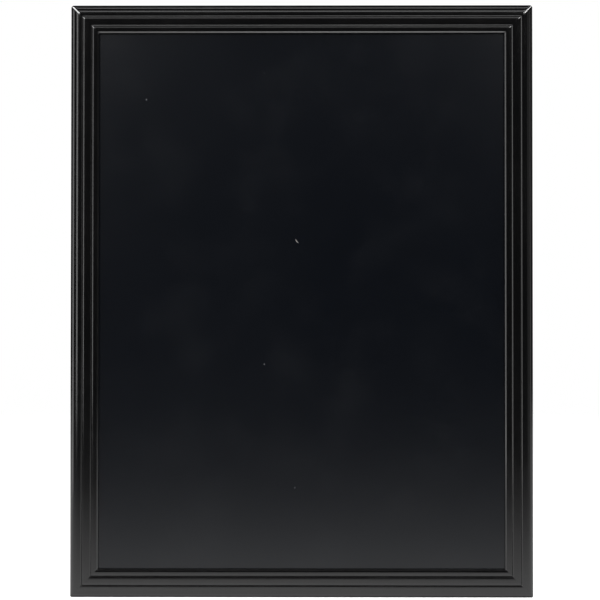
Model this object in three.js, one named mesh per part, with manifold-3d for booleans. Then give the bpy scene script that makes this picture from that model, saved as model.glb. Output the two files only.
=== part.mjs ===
// A framed chalkboard, in millimetres: +Z up, the writing face towards -Y, +X to the right.
//
// Four mitred lengths of one stepped moulding hold a thin writing panel in a rabbet cut along
// their back. V-nails draw the mitres together, flat points keep the panel in, two D-ring hangers
// carry the board, and four rubber pads keep it clear of the wall. The board is drawn about the
// centre of its back plane. At the end the whole group is moved so that the point midway between
// the two wall hooks, where the rings bear on them, is the origin.

import * as THREE from 'three';
import * as BufferGeometryUtils from 'three/addons/utils/BufferGeometryUtils.js';
import Module from 'manifold-3d';

// Overall size.

const BOARD_WIDTH = 703; // outer edge to outer edge
const BOARD_HEIGHT = 900;
const GAP = 0.3; // running clearance between pieces that seat on each other

// The moulding.

// Across the moulding, u runs inward from the outer edge and h runs forward from the back plane.
// Heights step down from the crown, so a thicker moulding keeps its form. Each band starts with a
// rounded shoulder that rises from the valley in front of it, and ends in a slope towards the panel.
const CROWN_HEIGHT = 20; // the highest face of the whole moulding
const OVOLO_WIDTH = 13.3; // quarter round from the outer side up to the crown
const OVOLO_RISE = 9.5; // crown above the flat outer side
const BACK_CHAMFER = 0.8; // broken corner between the outer side and the back
const CROWN_WIDTH = 3.5; // flat between the ovolo and the first slope
const SLOPE_TILT = 47; // degrees by which each slope falls towards the panel
const SLOPE_1_WIDTH = 1.45; // slope from the crown down to the first valley
const SLOPE_2_WIDTH = 1.5; // slope from the second band down to the second valley
const SLOPE_3_WIDTH = 1.7; // slope from the third band down to the lip
const BAND_2_WIDTH = 12.5; // from the first valley to the second slope
const BAND_2_DROP = 0.5; // its top below the crown
const BAND_2_FALL = 0.25; // its inner edge below its top
const BAND_2_SHOULDER = 4.2; // width of its rounded outer edge
const BAND_3_WIDTH = 8.6; // from the second valley to the third slope
const BAND_3_DROP = 0.8; // its top below the second band's
const BAND_3_FALL = 0.4;
const BAND_3_SHOULDER = 4;
const LIP_WIDTH = 0.4; // flat between the third slope and the sight edge
const SIGHT_WALL_DEPTH = 4.3; // wall in front of the panel, down from the lip
const RABBET_WIDTH = 8; // step cut along the back for the panel
const OVOLO_STEPS = 14; // facets along each rounded form
const SHOULDER_STEPS = 7;
const FALL_STEPS = 5;

// The writing panel.

const PANEL_THICKNESS = 3.2;
const PANEL_CLEARANCE = 1.2; // room between the panel's edge and the rabbet's wall
const PANEL_CORNER_RADIUS = 1.5;

// V-nails.

const VNAIL_LEG = 6; // length of each leg
const VNAIL_THICKNESS = 0.7;
const VNAIL_DEPTH = 10; // how far it goes in from the back
const VNAIL_SINK = 0.3; // how far its end lies below the back plane
const VNAIL_INSETS = [9, 24]; // apex, in from the outer edges, on the line of the mitre

// Panel points.

const POINTS_PER_STILE = 4;
const POINTS_PER_RAIL = 3;
const POINT_END_MARGIN = 110; // first and last point, from the outer corner
const POINT_LENGTH = 15;
const POINT_TIP_LENGTH = 3.5;
const POINT_WIDTH = 6;
const POINT_TIP_WIDTH = 0.8; // blunt end of the sharpened tip
const POINT_THICKNESS = 0.7;
const POINT_PROUD = 6.5; // length that stands out of the rabbet's wall over the panel

// D-ring hangers.

const HANGER_DROP = 90; // ring's axis, below the board's outer top edge
const HANGER_INSET = 17; // hanger's centre line, in from the outer side edge
const STRAP_SHEET = 1.0; // thickness of the steel strip, doubled under the screws
const STRAP_WIDTH = 11;
const STRAP_LENGTH = 38; // from the ring's axis to the strap's rounded end
const RING_ROD = 2.2; // diameter of the ring's wire
const RING_PLAY = 0.25; // between the wire and the fold around it
const RING_INNER_WIDTH = 15;
const RING_STRAIGHT = 3.4; // straight side of the D between its bar and its bow
const RING_CORNER_RADIUS = 2.6; // bend of the wire's centre line at the ends of the bar
const RING_SIDES = 10; // facets round the wire
const RING_BOW_STEPS = 20;
const RING_CORNER_STEPS = 4;
const LOOP_STEPS = 18; // facets round the strap's fold
const STRAP_NECK_LENGTH = 4.5; // from the ring's axis to where the two layers lie flat

const SCREW_SPACING = 15; // between the two screws of a hanger
const SCREW_FROM_END = 7; // last screw, from the strap's rounded end
const SCREW_HEAD_RADIUS = 3.4;
const SCREW_HEAD_HEIGHT = 2.0;
const SCREW_SHANK_RADIUS = 1.7;
const SCREW_LENGTH = 13; // under the head, tip included
const SCREW_TIP_LENGTH = 4;
const SCREW_TIP_RADIUS = 0.35; // blunt end of the tip
const SCREW_RECESS_ARM = 2.2; // half length of the cross recess
const SCREW_RECESS_WIDTH = 0.8;
const SCREW_RECESS_DEPTH = 1.0;
const SCREW_SIDES = 20;

// Bumper pads.

const PAD_RADIUS = 6;
const PAD_HEIGHT = 6; // more than the hangers stand proud of the back
const PAD_ROUNDING = 1.2;
const PAD_DRAFT = 0.6; // how much narrower the pad is at its rounded end
const PAD_INSET = 17; // pad's centre, in from the side edge
const PAD_END_MARGIN = 45; // pad's centre, from the top or bottom edge
const PAD_SIDES = 32;

// Materials.

const lacquer = () => new THREE.MeshStandardMaterial({ color: 0x0b0b0c, roughness: 0.16, metalness: 0 });
const coating = () => new THREE.MeshStandardMaterial({ color: 0x0c0f14, roughness: 0.5, metalness: 0 });
const zinc = () => new THREE.MeshStandardMaterial({ color: 0xb4b7b8, roughness: 0.35, metalness: 1 });
const bright = () => new THREE.MeshStandardMaterial({ color: 0xc4c0b4, roughness: 0.3, metalness: 1 });
const rubber = () => new THREE.MeshStandardMaterial({ color: 0x1a1a1a, roughness: 0.8, metalness: 0 });

// Solids and cuts.

const wasm = await Module();
wasm.setup();

// The geometry with shared vertices merged, and without what the merge would keep apart.
function welded(geometry) {
  const bare = geometry.clone();
  bare.deleteAttribute('normal');
  bare.deleteAttribute('uv');
  return BufferGeometryUtils.mergeVertices(bare, 1e-4);
}

// Positive when a closed geometry's triangles face out.
function signedVolume(geometry) {
  const position = geometry.attributes.position;
  const index = geometry.index.array;
  const [a, b, c] = [new THREE.Vector3(), new THREE.Vector3(), new THREE.Vector3()];
  let volume = 0;
  for (let i = 0; i < index.length; i += 3) {
    a.fromBufferAttribute(position, index[i]);
    b.fromBufferAttribute(position, index[i + 1]);
    c.fromBufferAttribute(position, index[i + 2]);
    volume += a.dot(b.cross(c)) / 6;
  }
  return volume;
}

// The same closed form with its triangles facing out, whichever way its profile was drawn,
// and without the empty triangles that a revolve leaves on its axis.
function facingOut(geometry) {
  const merged = welded(geometry);
  const turned = signedVolume(merged) < 0;
  const old = merged.index.array;
  const index = [];
  for (let i = 0; i < old.length; i += 3) {
    const [a, b, c] = [old[i], old[i + 1], old[i + 2]];
    if (a !== b && b !== c && c !== a) {
      index.push(a, turned ? c : b, turned ? b : c);
    }
  }
  merged.setIndex(index);
  merged.computeVertexNormals();
  return merged;
}

// A closed three.js geometry as a manifold solid.
function toSolid(geometry) {
  const merged = welded(geometry);
  const mesh = new wasm.Mesh({
    numProp: 3,
    vertProperties: new Float32Array(merged.attributes.position.array),
    triVerts: new Uint32Array(merged.index.array),
  });
  return new wasm.Manifold(mesh);
}

// A manifold solid back as a three.js geometry.
function toGeometry(solid) {
  const mesh = solid.getMesh();
  const geometry = new THREE.BufferGeometry();
  geometry.setAttribute('position', new THREE.BufferAttribute(mesh.vertProperties, 3));
  geometry.setIndex(new THREE.BufferAttribute(mesh.triVerts, 1));
  geometry.computeVertexNormals();
  return geometry;
}

// The body with every tool cut out of it.
function cut(geometry, tools) {
  let solid = toSolid(geometry);
  for (const tool of tools) {
    solid = solid.subtract(toSolid(tool));
  }
  return toGeometry(solid);
}

// Points on an arc, both ends included, angles in degrees.
function arc(cx, cy, rx, ry, from, to, steps) {
  const points = [];
  for (let i = 0; i <= steps; i++) {
    const angle = THREE.MathUtils.degToRad(from + ((to - from) * i) / steps);
    points.push(new THREE.Vector2(cx + rx * Math.cos(angle), cy + ry * Math.sin(angle)));
  }
  return points;
}

// The end of a slope that falls towards the panel from a point at the given height.
function slopeEnd(start, height, width) {
  const drop = width * Math.tan(THREE.MathUtils.degToRad(SLOPE_TILT));
  return new THREE.Vector2(start + width, height - drop);
}

// A band from the valley in front of it: its rounded shoulder, then a face that falls ever faster.
function band(valley, width, top, shoulder, fall) {
  const rise = top - valley.y;
  const points = arc(valley.x + shoulder, valley.y, shoulder, rise, 180, 90, SHOULDER_STEPS);
  const run = width - shoulder;
  for (let i = 1; i <= FALL_STEPS; i++) {
    const t = i / FALL_STEPS;
    points.push(new THREE.Vector2(valley.x + shoulder + run * t, top - fall * t ** 3));
  }
  return points;
}

// The moulding's section.

const sideHeight = CROWN_HEIGHT - OVOLO_RISE; // flat outer side, up to the spring of the ovolo
const band2Top = CROWN_HEIGHT - BAND_2_DROP;
const band3Top = band2Top - BAND_3_DROP;
const valley1 = slopeEnd(OVOLO_WIDTH + CROWN_WIDTH, CROWN_HEIGHT, SLOPE_1_WIDTH);
const valley2 = slopeEnd(valley1.x + BAND_2_WIDTH, band2Top - BAND_2_FALL, SLOPE_2_WIDTH);
const lip = slopeEnd(valley2.x + BAND_3_WIDTH, band3Top - BAND_3_FALL, SLOPE_3_WIDTH);
const railFace = lip.x + LIP_WIDTH; // outer edge to sight edge
const rabbetWall = railFace - RABBET_WIDTH; // width of the rail at its back
const rabbetDepth = lip.y - SIGHT_WALL_DEPTH; // from the back plane to the panel's seat

function mouldingPoints() {
  return [
    new THREE.Vector2(rabbetWall, rabbetDepth),
    new THREE.Vector2(rabbetWall, 0),
    new THREE.Vector2(BACK_CHAMFER, 0),
    new THREE.Vector2(0, BACK_CHAMFER),
    ...arc(OVOLO_WIDTH, sideHeight, OVOLO_WIDTH, OVOLO_RISE, 180, 90, OVOLO_STEPS),
    new THREE.Vector2(OVOLO_WIDTH + CROWN_WIDTH, CROWN_HEIGHT),
    ...band(valley1, BAND_2_WIDTH, band2Top, BAND_2_SHOULDER, BAND_2_FALL),
    ...band(valley2, BAND_3_WIDTH, band3Top, BAND_3_SHOULDER, BAND_3_FALL),
    lip,
    new THREE.Vector2(railFace, lip.y),
    new THREE.Vector2(railFace, rabbetDepth),
  ];
}

// A rail lies along local X with its outer edge at local y = 0, its face towards local +Z.
// Each end is sheared back by the distance in from the outer edge, which is the mitre.
function railGeometry(outerLength) {
  const section = new THREE.Shape(mouldingPoints());
  const geometry = new THREE.ExtrudeGeometry(section, { depth: 1, bevelEnabled: false });
  const mitreGap = (GAP / 2) * Math.SQRT2; // half the glue line, measured along the rail
  const position = geometry.attributes.position;
  for (let i = 0; i < position.count; i++) {
    const u = position.getX(i);
    const h = position.getY(i);
    const end = position.getZ(i) > 0.5 ? 1 : -1;
    position.setXYZ(i, end * (outerLength / 2 - u - mitreGap), u, h);
  }
  return facingOut(geometry);
}

// Panel points.

const panelBackHeight = rabbetDepth - GAP - PANEL_THICKNESS;
const pointTopHeight = panelBackHeight - GAP;

// Outline in plan: a flat strip with a sharpened end, its sharp end towards -Y.
function pointOutline(grow) {
  const half = POINT_WIDTH / 2 + grow;
  const tip = POINT_TIP_WIDTH / 2 + grow;
  const shape = new THREE.Shape();
  shape.moveTo(-half, POINT_PROUD + grow);
  shape.lineTo(-half, POINT_PROUD - POINT_LENGTH + POINT_TIP_LENGTH);
  shape.lineTo(-tip, POINT_PROUD - POINT_LENGTH - grow);
  shape.lineTo(tip, POINT_PROUD - POINT_LENGTH - grow);
  shape.lineTo(half, POINT_PROUD - POINT_LENGTH + POINT_TIP_LENGTH);
  shape.lineTo(half, POINT_PROUD + grow);
  shape.closePath();
  return shape;
}

// A point, or the slot that takes it, at a place along a rail; local +Y is inward.
function pointGeometry(along, grow) {
  const thickness = POINT_THICKNESS + 2 * grow;
  const geometry = new THREE.ExtrudeGeometry(pointOutline(grow), { depth: thickness, bevelEnabled: false });
  geometry.translate(along, rabbetWall, pointTopHeight - POINT_THICKNESS - grow);
  return geometry;
}

// Places along a rail, spread evenly between the end margins.
function pointPlaces(outerLength, count) {
  const reach = outerLength / 2 - POINT_END_MARGIN;
  const places = [];
  for (let i = 0; i < count; i++) {
    places.push(count > 1 ? -reach + (2 * reach * i) / (count - 1) : 0);
  }
  return places;
}

// V-nails.

// Chevron in plan, apex at the origin and its legs along +X and +Y, grown all round by grow.
function vnailOutline(grow) {
  const outer = -VNAIL_THICKNESS / 2 - grow;
  const inner = VNAIL_THICKNESS / 2 + grow;
  const tip = VNAIL_LEG + grow;
  const shape = new THREE.Shape();
  shape.moveTo(outer, outer);
  shape.lineTo(tip, outer);
  shape.lineTo(tip, inner);
  shape.lineTo(inner, inner);
  shape.lineTo(inner, tip);
  shape.lineTo(outer, tip);
  shape.closePath();
  return shape;
}

// In the frame's plane: a V-nail, or its slot, at one corner. sx and sz say which corner.
function vnailGeometry(sx, sz, inset, grow, open) {
  const depth = VNAIL_DEPTH + 2 * grow + (open ? VNAIL_SINK : 0);
  const geometry = new THREE.ExtrudeGeometry(vnailOutline(grow), { depth, bevelEnabled: false });
  geometry.translate(0, 0, VNAIL_SINK - grow - (open ? VNAIL_SINK : 0));
  geometry.rotateZ(Math.atan2(-sz, -sx) - Math.PI / 4); // legs turned towards the board's centre
  geometry.translate(sx * (BOARD_WIDTH / 2 - inset), sz * (BOARD_HEIGHT / 2 - inset), 0);
  return geometry;
}

// D-ring hangers.

const foldInner = RING_ROD / 2 + RING_PLAY;
const foldOuter = foldInner + STRAP_SHEET;
const strapSeat = GAP; // the strap's underside above the back plane
const ringAxisHeight = strapSeat + foldOuter; // ring's axis behind the back plane
const ringHalfWidth = (RING_INNER_WIDTH + RING_ROD) / 2;
const ringTop = RING_STRAIGHT + ringHalfWidth; // bow's centre line above the axis
const hookBearing = ringTop - RING_ROD / 2; // where a hook bears, above the axis
const screwSeat = strapSeat + 2 * STRAP_SHEET + GAP; // underside of the heads above the back plane
const lastScrew = -(STRAP_LENGTH - SCREW_FROM_END);
const screwPlaces = [lastScrew, lastScrew + SCREW_SPACING];

// Side view of the strap: x is along the strap, y is out of the back. Ring's axis at (0, foldOuter).
function strapSideShape() {
  const doubled = 2 * STRAP_SHEET;
  const shape = new THREE.Shape();
  shape.moveTo(-STRAP_LENGTH, 0);
  shape.lineTo(0, 0);
  for (const p of arc(0, foldOuter, foldOuter, foldOuter, -90, 150, LOOP_STEPS).slice(1)) {
    shape.lineTo(p.x, p.y);
  }
  shape.lineTo(-STRAP_NECK_LENGTH, doubled);
  shape.lineTo(-STRAP_LENGTH, doubled);
  shape.closePath();
  const hole = new THREE.Path(arc(0, foldOuter, foldInner, foldInner, 0, 360, LOOP_STEPS).slice(1));
  shape.holes.push(hole);
  return shape;
}

// Plan of the strap, drawn up local Y: square at the fold, round at the far end.
function strapPlanShape() {
  const half = STRAP_WIDTH / 2;
  const shape = new THREE.Shape();
  shape.moveTo(half, foldOuter + 1);
  shape.lineTo(-half, foldOuter + 1);
  for (const p of arc(0, -STRAP_LENGTH + half, half, half, 180, 360, LOOP_STEPS)) {
    shape.lineTo(p.x, p.y);
  }
  shape.closePath();
  return shape;
}

// The strap in local axes: x across, y up towards the ring, z out of the back.
// The ring's axis is at z = foldOuter.
function strapGeometry() {
  const side = new THREE.ExtrudeGeometry(strapSideShape(), { depth: STRAP_WIDTH, bevelEnabled: false });
  side.translate(0, 0, -STRAP_WIDTH / 2);
  // (x along, y out, z across) becomes (x across, y along, z out)
  side.applyMatrix4(new THREE.Matrix4().makeBasis(
    new THREE.Vector3(0, 1, 0), new THREE.Vector3(0, 0, 1), new THREE.Vector3(1, 0, 0)));
  const height = 2 * foldOuter + 2;
  const plan = new THREE.ExtrudeGeometry(strapPlanShape(), { depth: height, bevelEnabled: false });
  plan.translate(0, 0, -1);
  let solid = toSolid(side).intersect(toSolid(plan));
  for (const place of screwPlaces) {
    const hole = new THREE.CylinderGeometry(
      SCREW_SHANK_RADIUS + GAP, SCREW_SHANK_RADIUS + GAP, height, SCREW_SIDES);
    hole.rotateX(Math.PI / 2);
    hole.translate(0, place, height / 2 - 1);
    solid = solid.subtract(toSolid(hole));
  }
  return toGeometry(solid);
}

// The D's centre line: bar along x at y = 0, bow at the top.
function ringPath() {
  const r = RING_CORNER_RADIUS;
  const points = [];
  points.push(...arc(ringHalfWidth - r, r, r, r, -90, 0, RING_CORNER_STEPS));
  points.push(...arc(0, RING_STRAIGHT, ringHalfWidth, ringHalfWidth, 0, 180, RING_BOW_STEPS));
  points.push(...arc(-ringHalfWidth + r, r, r, r, 180, 270, RING_CORNER_STEPS));
  return points;
}

// A round wire swept along a closed flat path, joined to itself without an end.
function ringGeometry() {
  const path = ringPath();
  const positions = [];
  const index = [];
  path.forEach((point, i) => {
    const before = path[(i + path.length - 1) % path.length];
    const after = path[(i + 1) % path.length];
    const along = after.clone().sub(before).normalize();
    const outward = new THREE.Vector2(along.y, -along.x);
    for (let k = 0; k < RING_SIDES; k++) {
      const angle = (2 * Math.PI * k) / RING_SIDES;
      const across = (RING_ROD / 2) * Math.cos(angle);
      positions.push(point.x + outward.x * across, point.y + outward.y * across,
        (RING_ROD / 2) * Math.sin(angle));
    }
  });
  for (let i = 0; i < path.length; i++) {
    const next = (i + 1) % path.length;
    for (let k = 0; k < RING_SIDES; k++) {
      const side = (k + 1) % RING_SIDES;
      const [a, b] = [i * RING_SIDES + k, i * RING_SIDES + side];
      const [c, d] = [next * RING_SIDES + k, next * RING_SIDES + side];
      index.push(a, c, b, b, c, d);
    }
  }
  const geometry = new THREE.BufferGeometry();
  geometry.setAttribute('position', new THREE.Float32BufferAttribute(positions, 3));
  geometry.setIndex(index);
  return facingOut(geometry);
}

// A pan-head screw about local z: the head above z = 0, the shank below.
function screwGeometry() {
  const r = SCREW_HEAD_RADIUS;
  const profile = [
    new THREE.Vector2(0, -SCREW_LENGTH),
    new THREE.Vector2(SCREW_TIP_RADIUS, -SCREW_LENGTH),
    new THREE.Vector2(SCREW_SHANK_RADIUS, -SCREW_LENGTH + SCREW_TIP_LENGTH),
    new THREE.Vector2(SCREW_SHANK_RADIUS, 0),
    new THREE.Vector2(r, 0),
    ...arc(0, SCREW_HEAD_HEIGHT * 0.35, r, SCREW_HEAD_HEIGHT * 0.65, 0, 90, 5),
  ];
  profile[profile.length - 1].x = 0;
  const lathe = new THREE.LatheGeometry(profile, SCREW_SIDES);
  lathe.rotateX(Math.PI / 2);
  const arms = [0, Math.PI / 2].map((turn) => {
    const arm = new THREE.BoxGeometry(2 * SCREW_RECESS_ARM, SCREW_RECESS_WIDTH, 2 * SCREW_RECESS_DEPTH);
    arm.rotateZ(turn);
    arm.translate(0, 0, SCREW_HEAD_HEIGHT);
    return arm;
  });
  return cut(facingOut(lathe), arms);
}

// A hanger stands on a stile's back: this places a geometry drawn as (across, up, out of the back).
function onBack(geometry, x, z, out) {
  geometry.applyMatrix4(new THREE.Matrix4().makeBasis(
    new THREE.Vector3(-1, 0, 0), new THREE.Vector3(0, 0, 1), new THREE.Vector3(0, 1, 0)));
  geometry.translate(x, out, z);
  return geometry;
}

// The assembly.

const group = new THREE.Group();
const board = new THREE.Group(); // about the centre of the back plane
group.add(board);

function addMesh(parent, name, geometry, material) {
  const mesh = new THREE.Mesh(geometry, material);
  mesh.name = name;
  parent.add(mesh);
  return mesh;
}

// Everything in the frame's plane is drawn flat, x right, y up and z forward, then stood up.
const upright = new THREE.Matrix4().makeBasis(
  new THREE.Vector3(1, 0, 0), new THREE.Vector3(0, 0, 1), new THREE.Vector3(0, -1, 0));

// Each rail's turn in the frame's plane, its length, and the wall that it stands along.
const sides = [
  { name: 'bottom_rail', length: BOARD_WIDTH, reach: BOARD_HEIGHT / 2, turn: 0, points: POINTS_PER_RAIL },
  { name: 'right_stile', length: BOARD_HEIGHT, reach: BOARD_WIDTH / 2, turn: 1, points: POINTS_PER_STILE },
  { name: 'top_rail', length: BOARD_WIDTH, reach: BOARD_HEIGHT / 2, turn: 2, points: POINTS_PER_RAIL },
  { name: 'left_stile', length: BOARD_HEIGHT, reach: BOARD_WIDTH / 2, turn: 3, points: POINTS_PER_STILE },
];

// From a rail's own axes to the flat frame: a quarter turn for each side round the frame.
function toFlatFrame(side) {
  const quarter = new THREE.Matrix4().makeRotationZ((Math.PI / 2) * side.turn);
  return quarter.multiply(new THREE.Matrix4().makeTranslation(0, -side.reach, 0));
}

const corners = [];
for (const sz of [1, -1]) {
  for (const sx of [-1, 1]) {
    corners.push({ sx, sz, name: `${sz > 0 ? 'top' : 'bottom'}_${sx < 0 ? 'left' : 'right'}` });
  }
}

const hangerZ = BOARD_HEIGHT / 2 - HANGER_DROP; // ring's axis above the board's centre
const hangers = [
  { name: 'left', x: -(BOARD_WIDTH / 2 - HANGER_INSET), stile: 'left_stile' },
  { name: 'right', x: BOARD_WIDTH / 2 - HANGER_INSET, stile: 'right_stile' },
];

// Pilot bores for a hanger's screws, in the upright board.
function pilotBores(stileName) {
  const tools = [];
  for (const hanger of hangers.filter((h) => h.stile === stileName)) {
    for (const place of screwPlaces) {
      const depth = SCREW_LENGTH - screwSeat + 2 * GAP;
      const radius = SCREW_SHANK_RADIUS + GAP;
      const bore = new THREE.CylinderGeometry(radius, radius, 2 * depth, SCREW_SIDES);
      bore.translate(hanger.x, 0, hangerZ + place);
      tools.push(bore);
    }
  }
  return tools;
}

for (const side of sides) {
  const place = toFlatFrame(side);
  const rail = railGeometry(side.length);
  const along = pointPlaces(side.length, side.points);
  const slots = along.map((at) => pointGeometry(at, GAP));
  for (const piece of [rail, ...slots]) {
    piece.applyMatrix4(place);
    piece.applyMatrix4(upright);
  }
  const nailSlots = [];
  for (const corner of corners) {
    for (const inset of VNAIL_INSETS) {
      const slot = vnailGeometry(corner.sx, corner.sz, inset, GAP, true);
      slot.applyMatrix4(upright);
      nailSlots.push(slot);
    }
  }
  addMesh(board, side.name, cut(rail, [...slots, ...nailSlots, ...pilotBores(side.name)]), lacquer());
  along.forEach((at, i) => {
    const point = pointGeometry(at, 0);
    point.applyMatrix4(place);
    point.applyMatrix4(upright);
    addMesh(board, `panel_point_${side.name}_${i + 1}`, point, zinc());
  });
}

for (const corner of corners) {
  VNAIL_INSETS.forEach((inset, i) => {
    const nail = vnailGeometry(corner.sx, corner.sz, inset, 0, false);
    nail.applyMatrix4(upright);
    addMesh(board, `v_nail_${corner.name}_${i + 1}`, nail, zinc());
  });
}

// The writing panel fills the rabbet, less its clearance, with slightly broken corners.
const panelHalfWidth = BOARD_WIDTH / 2 - rabbetWall - PANEL_CLEARANCE;
const panelHalfHeight = BOARD_HEIGHT / 2 - rabbetWall - PANEL_CLEARANCE;
const panelOutline = new THREE.Shape();
for (const [sx, sy, from] of [[1, 1, 0], [-1, 1, 90], [-1, -1, 180], [1, -1, 270]]) {
  const cx = sx * (panelHalfWidth - PANEL_CORNER_RADIUS);
  const cy = sy * (panelHalfHeight - PANEL_CORNER_RADIUS);
  arc(cx, cy, PANEL_CORNER_RADIUS, PANEL_CORNER_RADIUS, from, from + 90, 3).forEach((p, i) => {
    if (sx === 1 && sy === 1 && i === 0) {
      panelOutline.moveTo(p.x, p.y);
    } else {
      panelOutline.lineTo(p.x, p.y);
    }
  });
}
panelOutline.closePath();
const panel = new THREE.ExtrudeGeometry(panelOutline, { depth: PANEL_THICKNESS, bevelEnabled: false });
panel.translate(0, 0, panelBackHeight);
panel.applyMatrix4(upright);
addMesh(board, 'writing_panel', panel, coating());

for (const hanger of hangers) {
  const strap = onBack(strapGeometry(), hanger.x, hangerZ, strapSeat);
  addMesh(board, `hanger_strap_${hanger.name}`, strap, zinc());
  const ring = onBack(ringGeometry(), hanger.x, hangerZ, ringAxisHeight);
  addMesh(board, `hanger_ring_${hanger.name}`, ring, bright());
  screwPlaces.forEach((place, i) => {
    const screw = onBack(screwGeometry(), hanger.x, hangerZ + place, screwSeat);
    addMesh(board, `hanger_screw_${hanger.name}_${i + 1}`, screw, bright());
  });
}

// Bumper pads: a flat foot on the board and a softly rounded, slightly drawn-in rest face.
function padGeometry() {
  const face = PAD_RADIUS - PAD_DRAFT;
  const profile = [
    new THREE.Vector2(0, 0),
    new THREE.Vector2(PAD_RADIUS, 0),
    ...arc(face - PAD_ROUNDING, PAD_HEIGHT - PAD_ROUNDING, PAD_ROUNDING, PAD_ROUNDING, 0, 90, 4),
    new THREE.Vector2(0, PAD_HEIGHT),
  ];
  const lathe = new THREE.LatheGeometry(profile, PAD_SIDES);
  lathe.rotateX(Math.PI / 2);
  return facingOut(lathe);
}

for (const corner of corners) {
  const x = corner.sx * (BOARD_WIDTH / 2 - PAD_INSET);
  const z = corner.sz * (BOARD_HEIGHT / 2 - PAD_END_MARGIN);
  addMesh(board, `bumper_${corner.name}`, onBack(padGeometry(), x, z, GAP), rubber());
}

// The hooks' bearing line is the origin: inside the bows, on the rings' own plane.
board.position.set(0, -ringAxisHeight, -(hangerZ + hookBearing));

export default group;
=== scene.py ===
# %% [markdown]
# # A framed chalkboard
#
# Four mitred lengths of one stepped moulding, lacquered gloss black, hold a thin coated panel.
# The board hangs by two D-rings on its back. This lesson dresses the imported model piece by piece:
# each step says what the thing is on a real board, how it could be made, and why it is made so.
# All sizes are in metres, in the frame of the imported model: X to the right, the writing face
# towards -Y, Z up, the origin midway between the two wall hooks.

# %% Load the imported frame
import math

import bmesh
import bpy
from mathutils import Matrix, Vector


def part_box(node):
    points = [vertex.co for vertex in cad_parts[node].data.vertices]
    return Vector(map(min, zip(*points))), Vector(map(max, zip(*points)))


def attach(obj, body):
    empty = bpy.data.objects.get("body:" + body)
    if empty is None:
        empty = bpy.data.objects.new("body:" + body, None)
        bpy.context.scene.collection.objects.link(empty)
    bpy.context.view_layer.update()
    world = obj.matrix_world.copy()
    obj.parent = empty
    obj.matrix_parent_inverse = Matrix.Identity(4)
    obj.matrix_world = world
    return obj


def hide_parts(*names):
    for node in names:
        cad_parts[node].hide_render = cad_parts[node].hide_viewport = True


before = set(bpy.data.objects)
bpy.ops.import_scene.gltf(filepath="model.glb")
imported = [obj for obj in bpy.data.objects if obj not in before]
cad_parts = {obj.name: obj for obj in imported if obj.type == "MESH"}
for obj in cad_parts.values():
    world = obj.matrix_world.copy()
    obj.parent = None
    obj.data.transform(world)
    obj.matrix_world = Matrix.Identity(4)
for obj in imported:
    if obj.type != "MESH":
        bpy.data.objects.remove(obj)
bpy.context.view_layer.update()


MM = 0.001
scene = bpy.context.scene

# %% [markdown]
# ## Where the board is
#
# Nothing is placed by eye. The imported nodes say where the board's outer edges, its back plane,
# the panel and the fittings are, and every new piece starts from those numbers.

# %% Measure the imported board
BOARD_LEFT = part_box("left_stile")[0].x
BOARD_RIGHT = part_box("right_stile")[1].x
BOARD_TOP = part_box("top_rail")[1].z
BOARD_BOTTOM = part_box("bottom_rail")[0].z
BACK_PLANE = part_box("top_rail")[1].y
BOARD_WIDTH = BOARD_RIGHT - BOARD_LEFT
BOARD_HEIGHT = BOARD_TOP - BOARD_BOTTOM
MIDDLE_HEIGHT = (BOARD_TOP + BOARD_BOTTOM) / 2


def measured(node):
    """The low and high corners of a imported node's box, and its middle."""
    low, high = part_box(node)
    return low, high, (low + high) / 2


print("board", round(BOARD_WIDTH, 4), "x", round(BOARD_HEIGHT, 4))
print("back plane at", round(BACK_PLANE, 5))

# %% [markdown]
# ## Small helpers for node trees
#
# Shader trees and geometry trees are both wired from sockets. A value or a socket can feed an
# input, so one helper takes either, and the sums in a tree can be read in the order in which
# they are worked out.

# %% Helpers that wire node trees
def feed(tree, source, target):
    """Link a socket, or set a plain value, on an input socket."""
    if isinstance(source, bpy.types.NodeSocket):
        tree.links.new(source, target)
    else:
        target.default_value = source


def add(tree, kind, inputs=(), **settings):
    """A node with its settings and its inputs, given by name or by number."""
    node = tree.nodes.new(kind)
    for name, value in settings.items():
        setattr(node, name, value)
    for key, value in dict(inputs).items():
        feed(tree, value, node.inputs[key])
    return node


def calc(tree, operation, first, second=0.0, clamp=False):
    """One Math node."""
    node = add(tree, "ShaderNodeMath", {0: first, 1: second}, operation=operation, use_clamp=clamp)
    return node.outputs[0]


def plus(tree, first, second, clamp=False):
    return calc(tree, "ADD", first, second, clamp)


def minus(tree, first, second, clamp=False):
    return calc(tree, "SUBTRACT", first, second, clamp)


def times(tree, first, second):
    return calc(tree, "MULTIPLY", first, second)


def larger(tree, first, second):
    return calc(tree, "MAXIMUM", first, second)


def between(tree, value, start, end, to_start=0.0, to_end=1.0):
    """A value rescaled smoothly from one range to another."""
    names = {"Value": value, "From Min": start, "From Max": end, "To Min": to_start, "To Max": to_end}
    node = add(tree, "ShaderNodeMapRange", names, interpolation_type="SMOOTHSTEP")
    return node.outputs["Result"]


def noise(tree, place, scale, detail=2.0, roughness=0.5, distortion=0.0):
    """Cloudy values from 0 to 1, with as many patches per metre as the scale."""
    node = add(tree, "ShaderNodeTexNoise", {"Vector": place, "Scale": scale, "Detail": detail,
                                            "Roughness": roughness, "Distortion": distortion})
    return node.outputs["Fac"]


# The kinds of socket that the trees have
FLOAT, INTEGER, VECTOR = "NodeSocketFloat", "NodeSocketInt", "NodeSocketVector"
GEOMETRY, OBJECT, MATERIAL = "NodeSocketGeometry", "NodeSocketObject", "NodeSocketMaterial"


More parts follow.
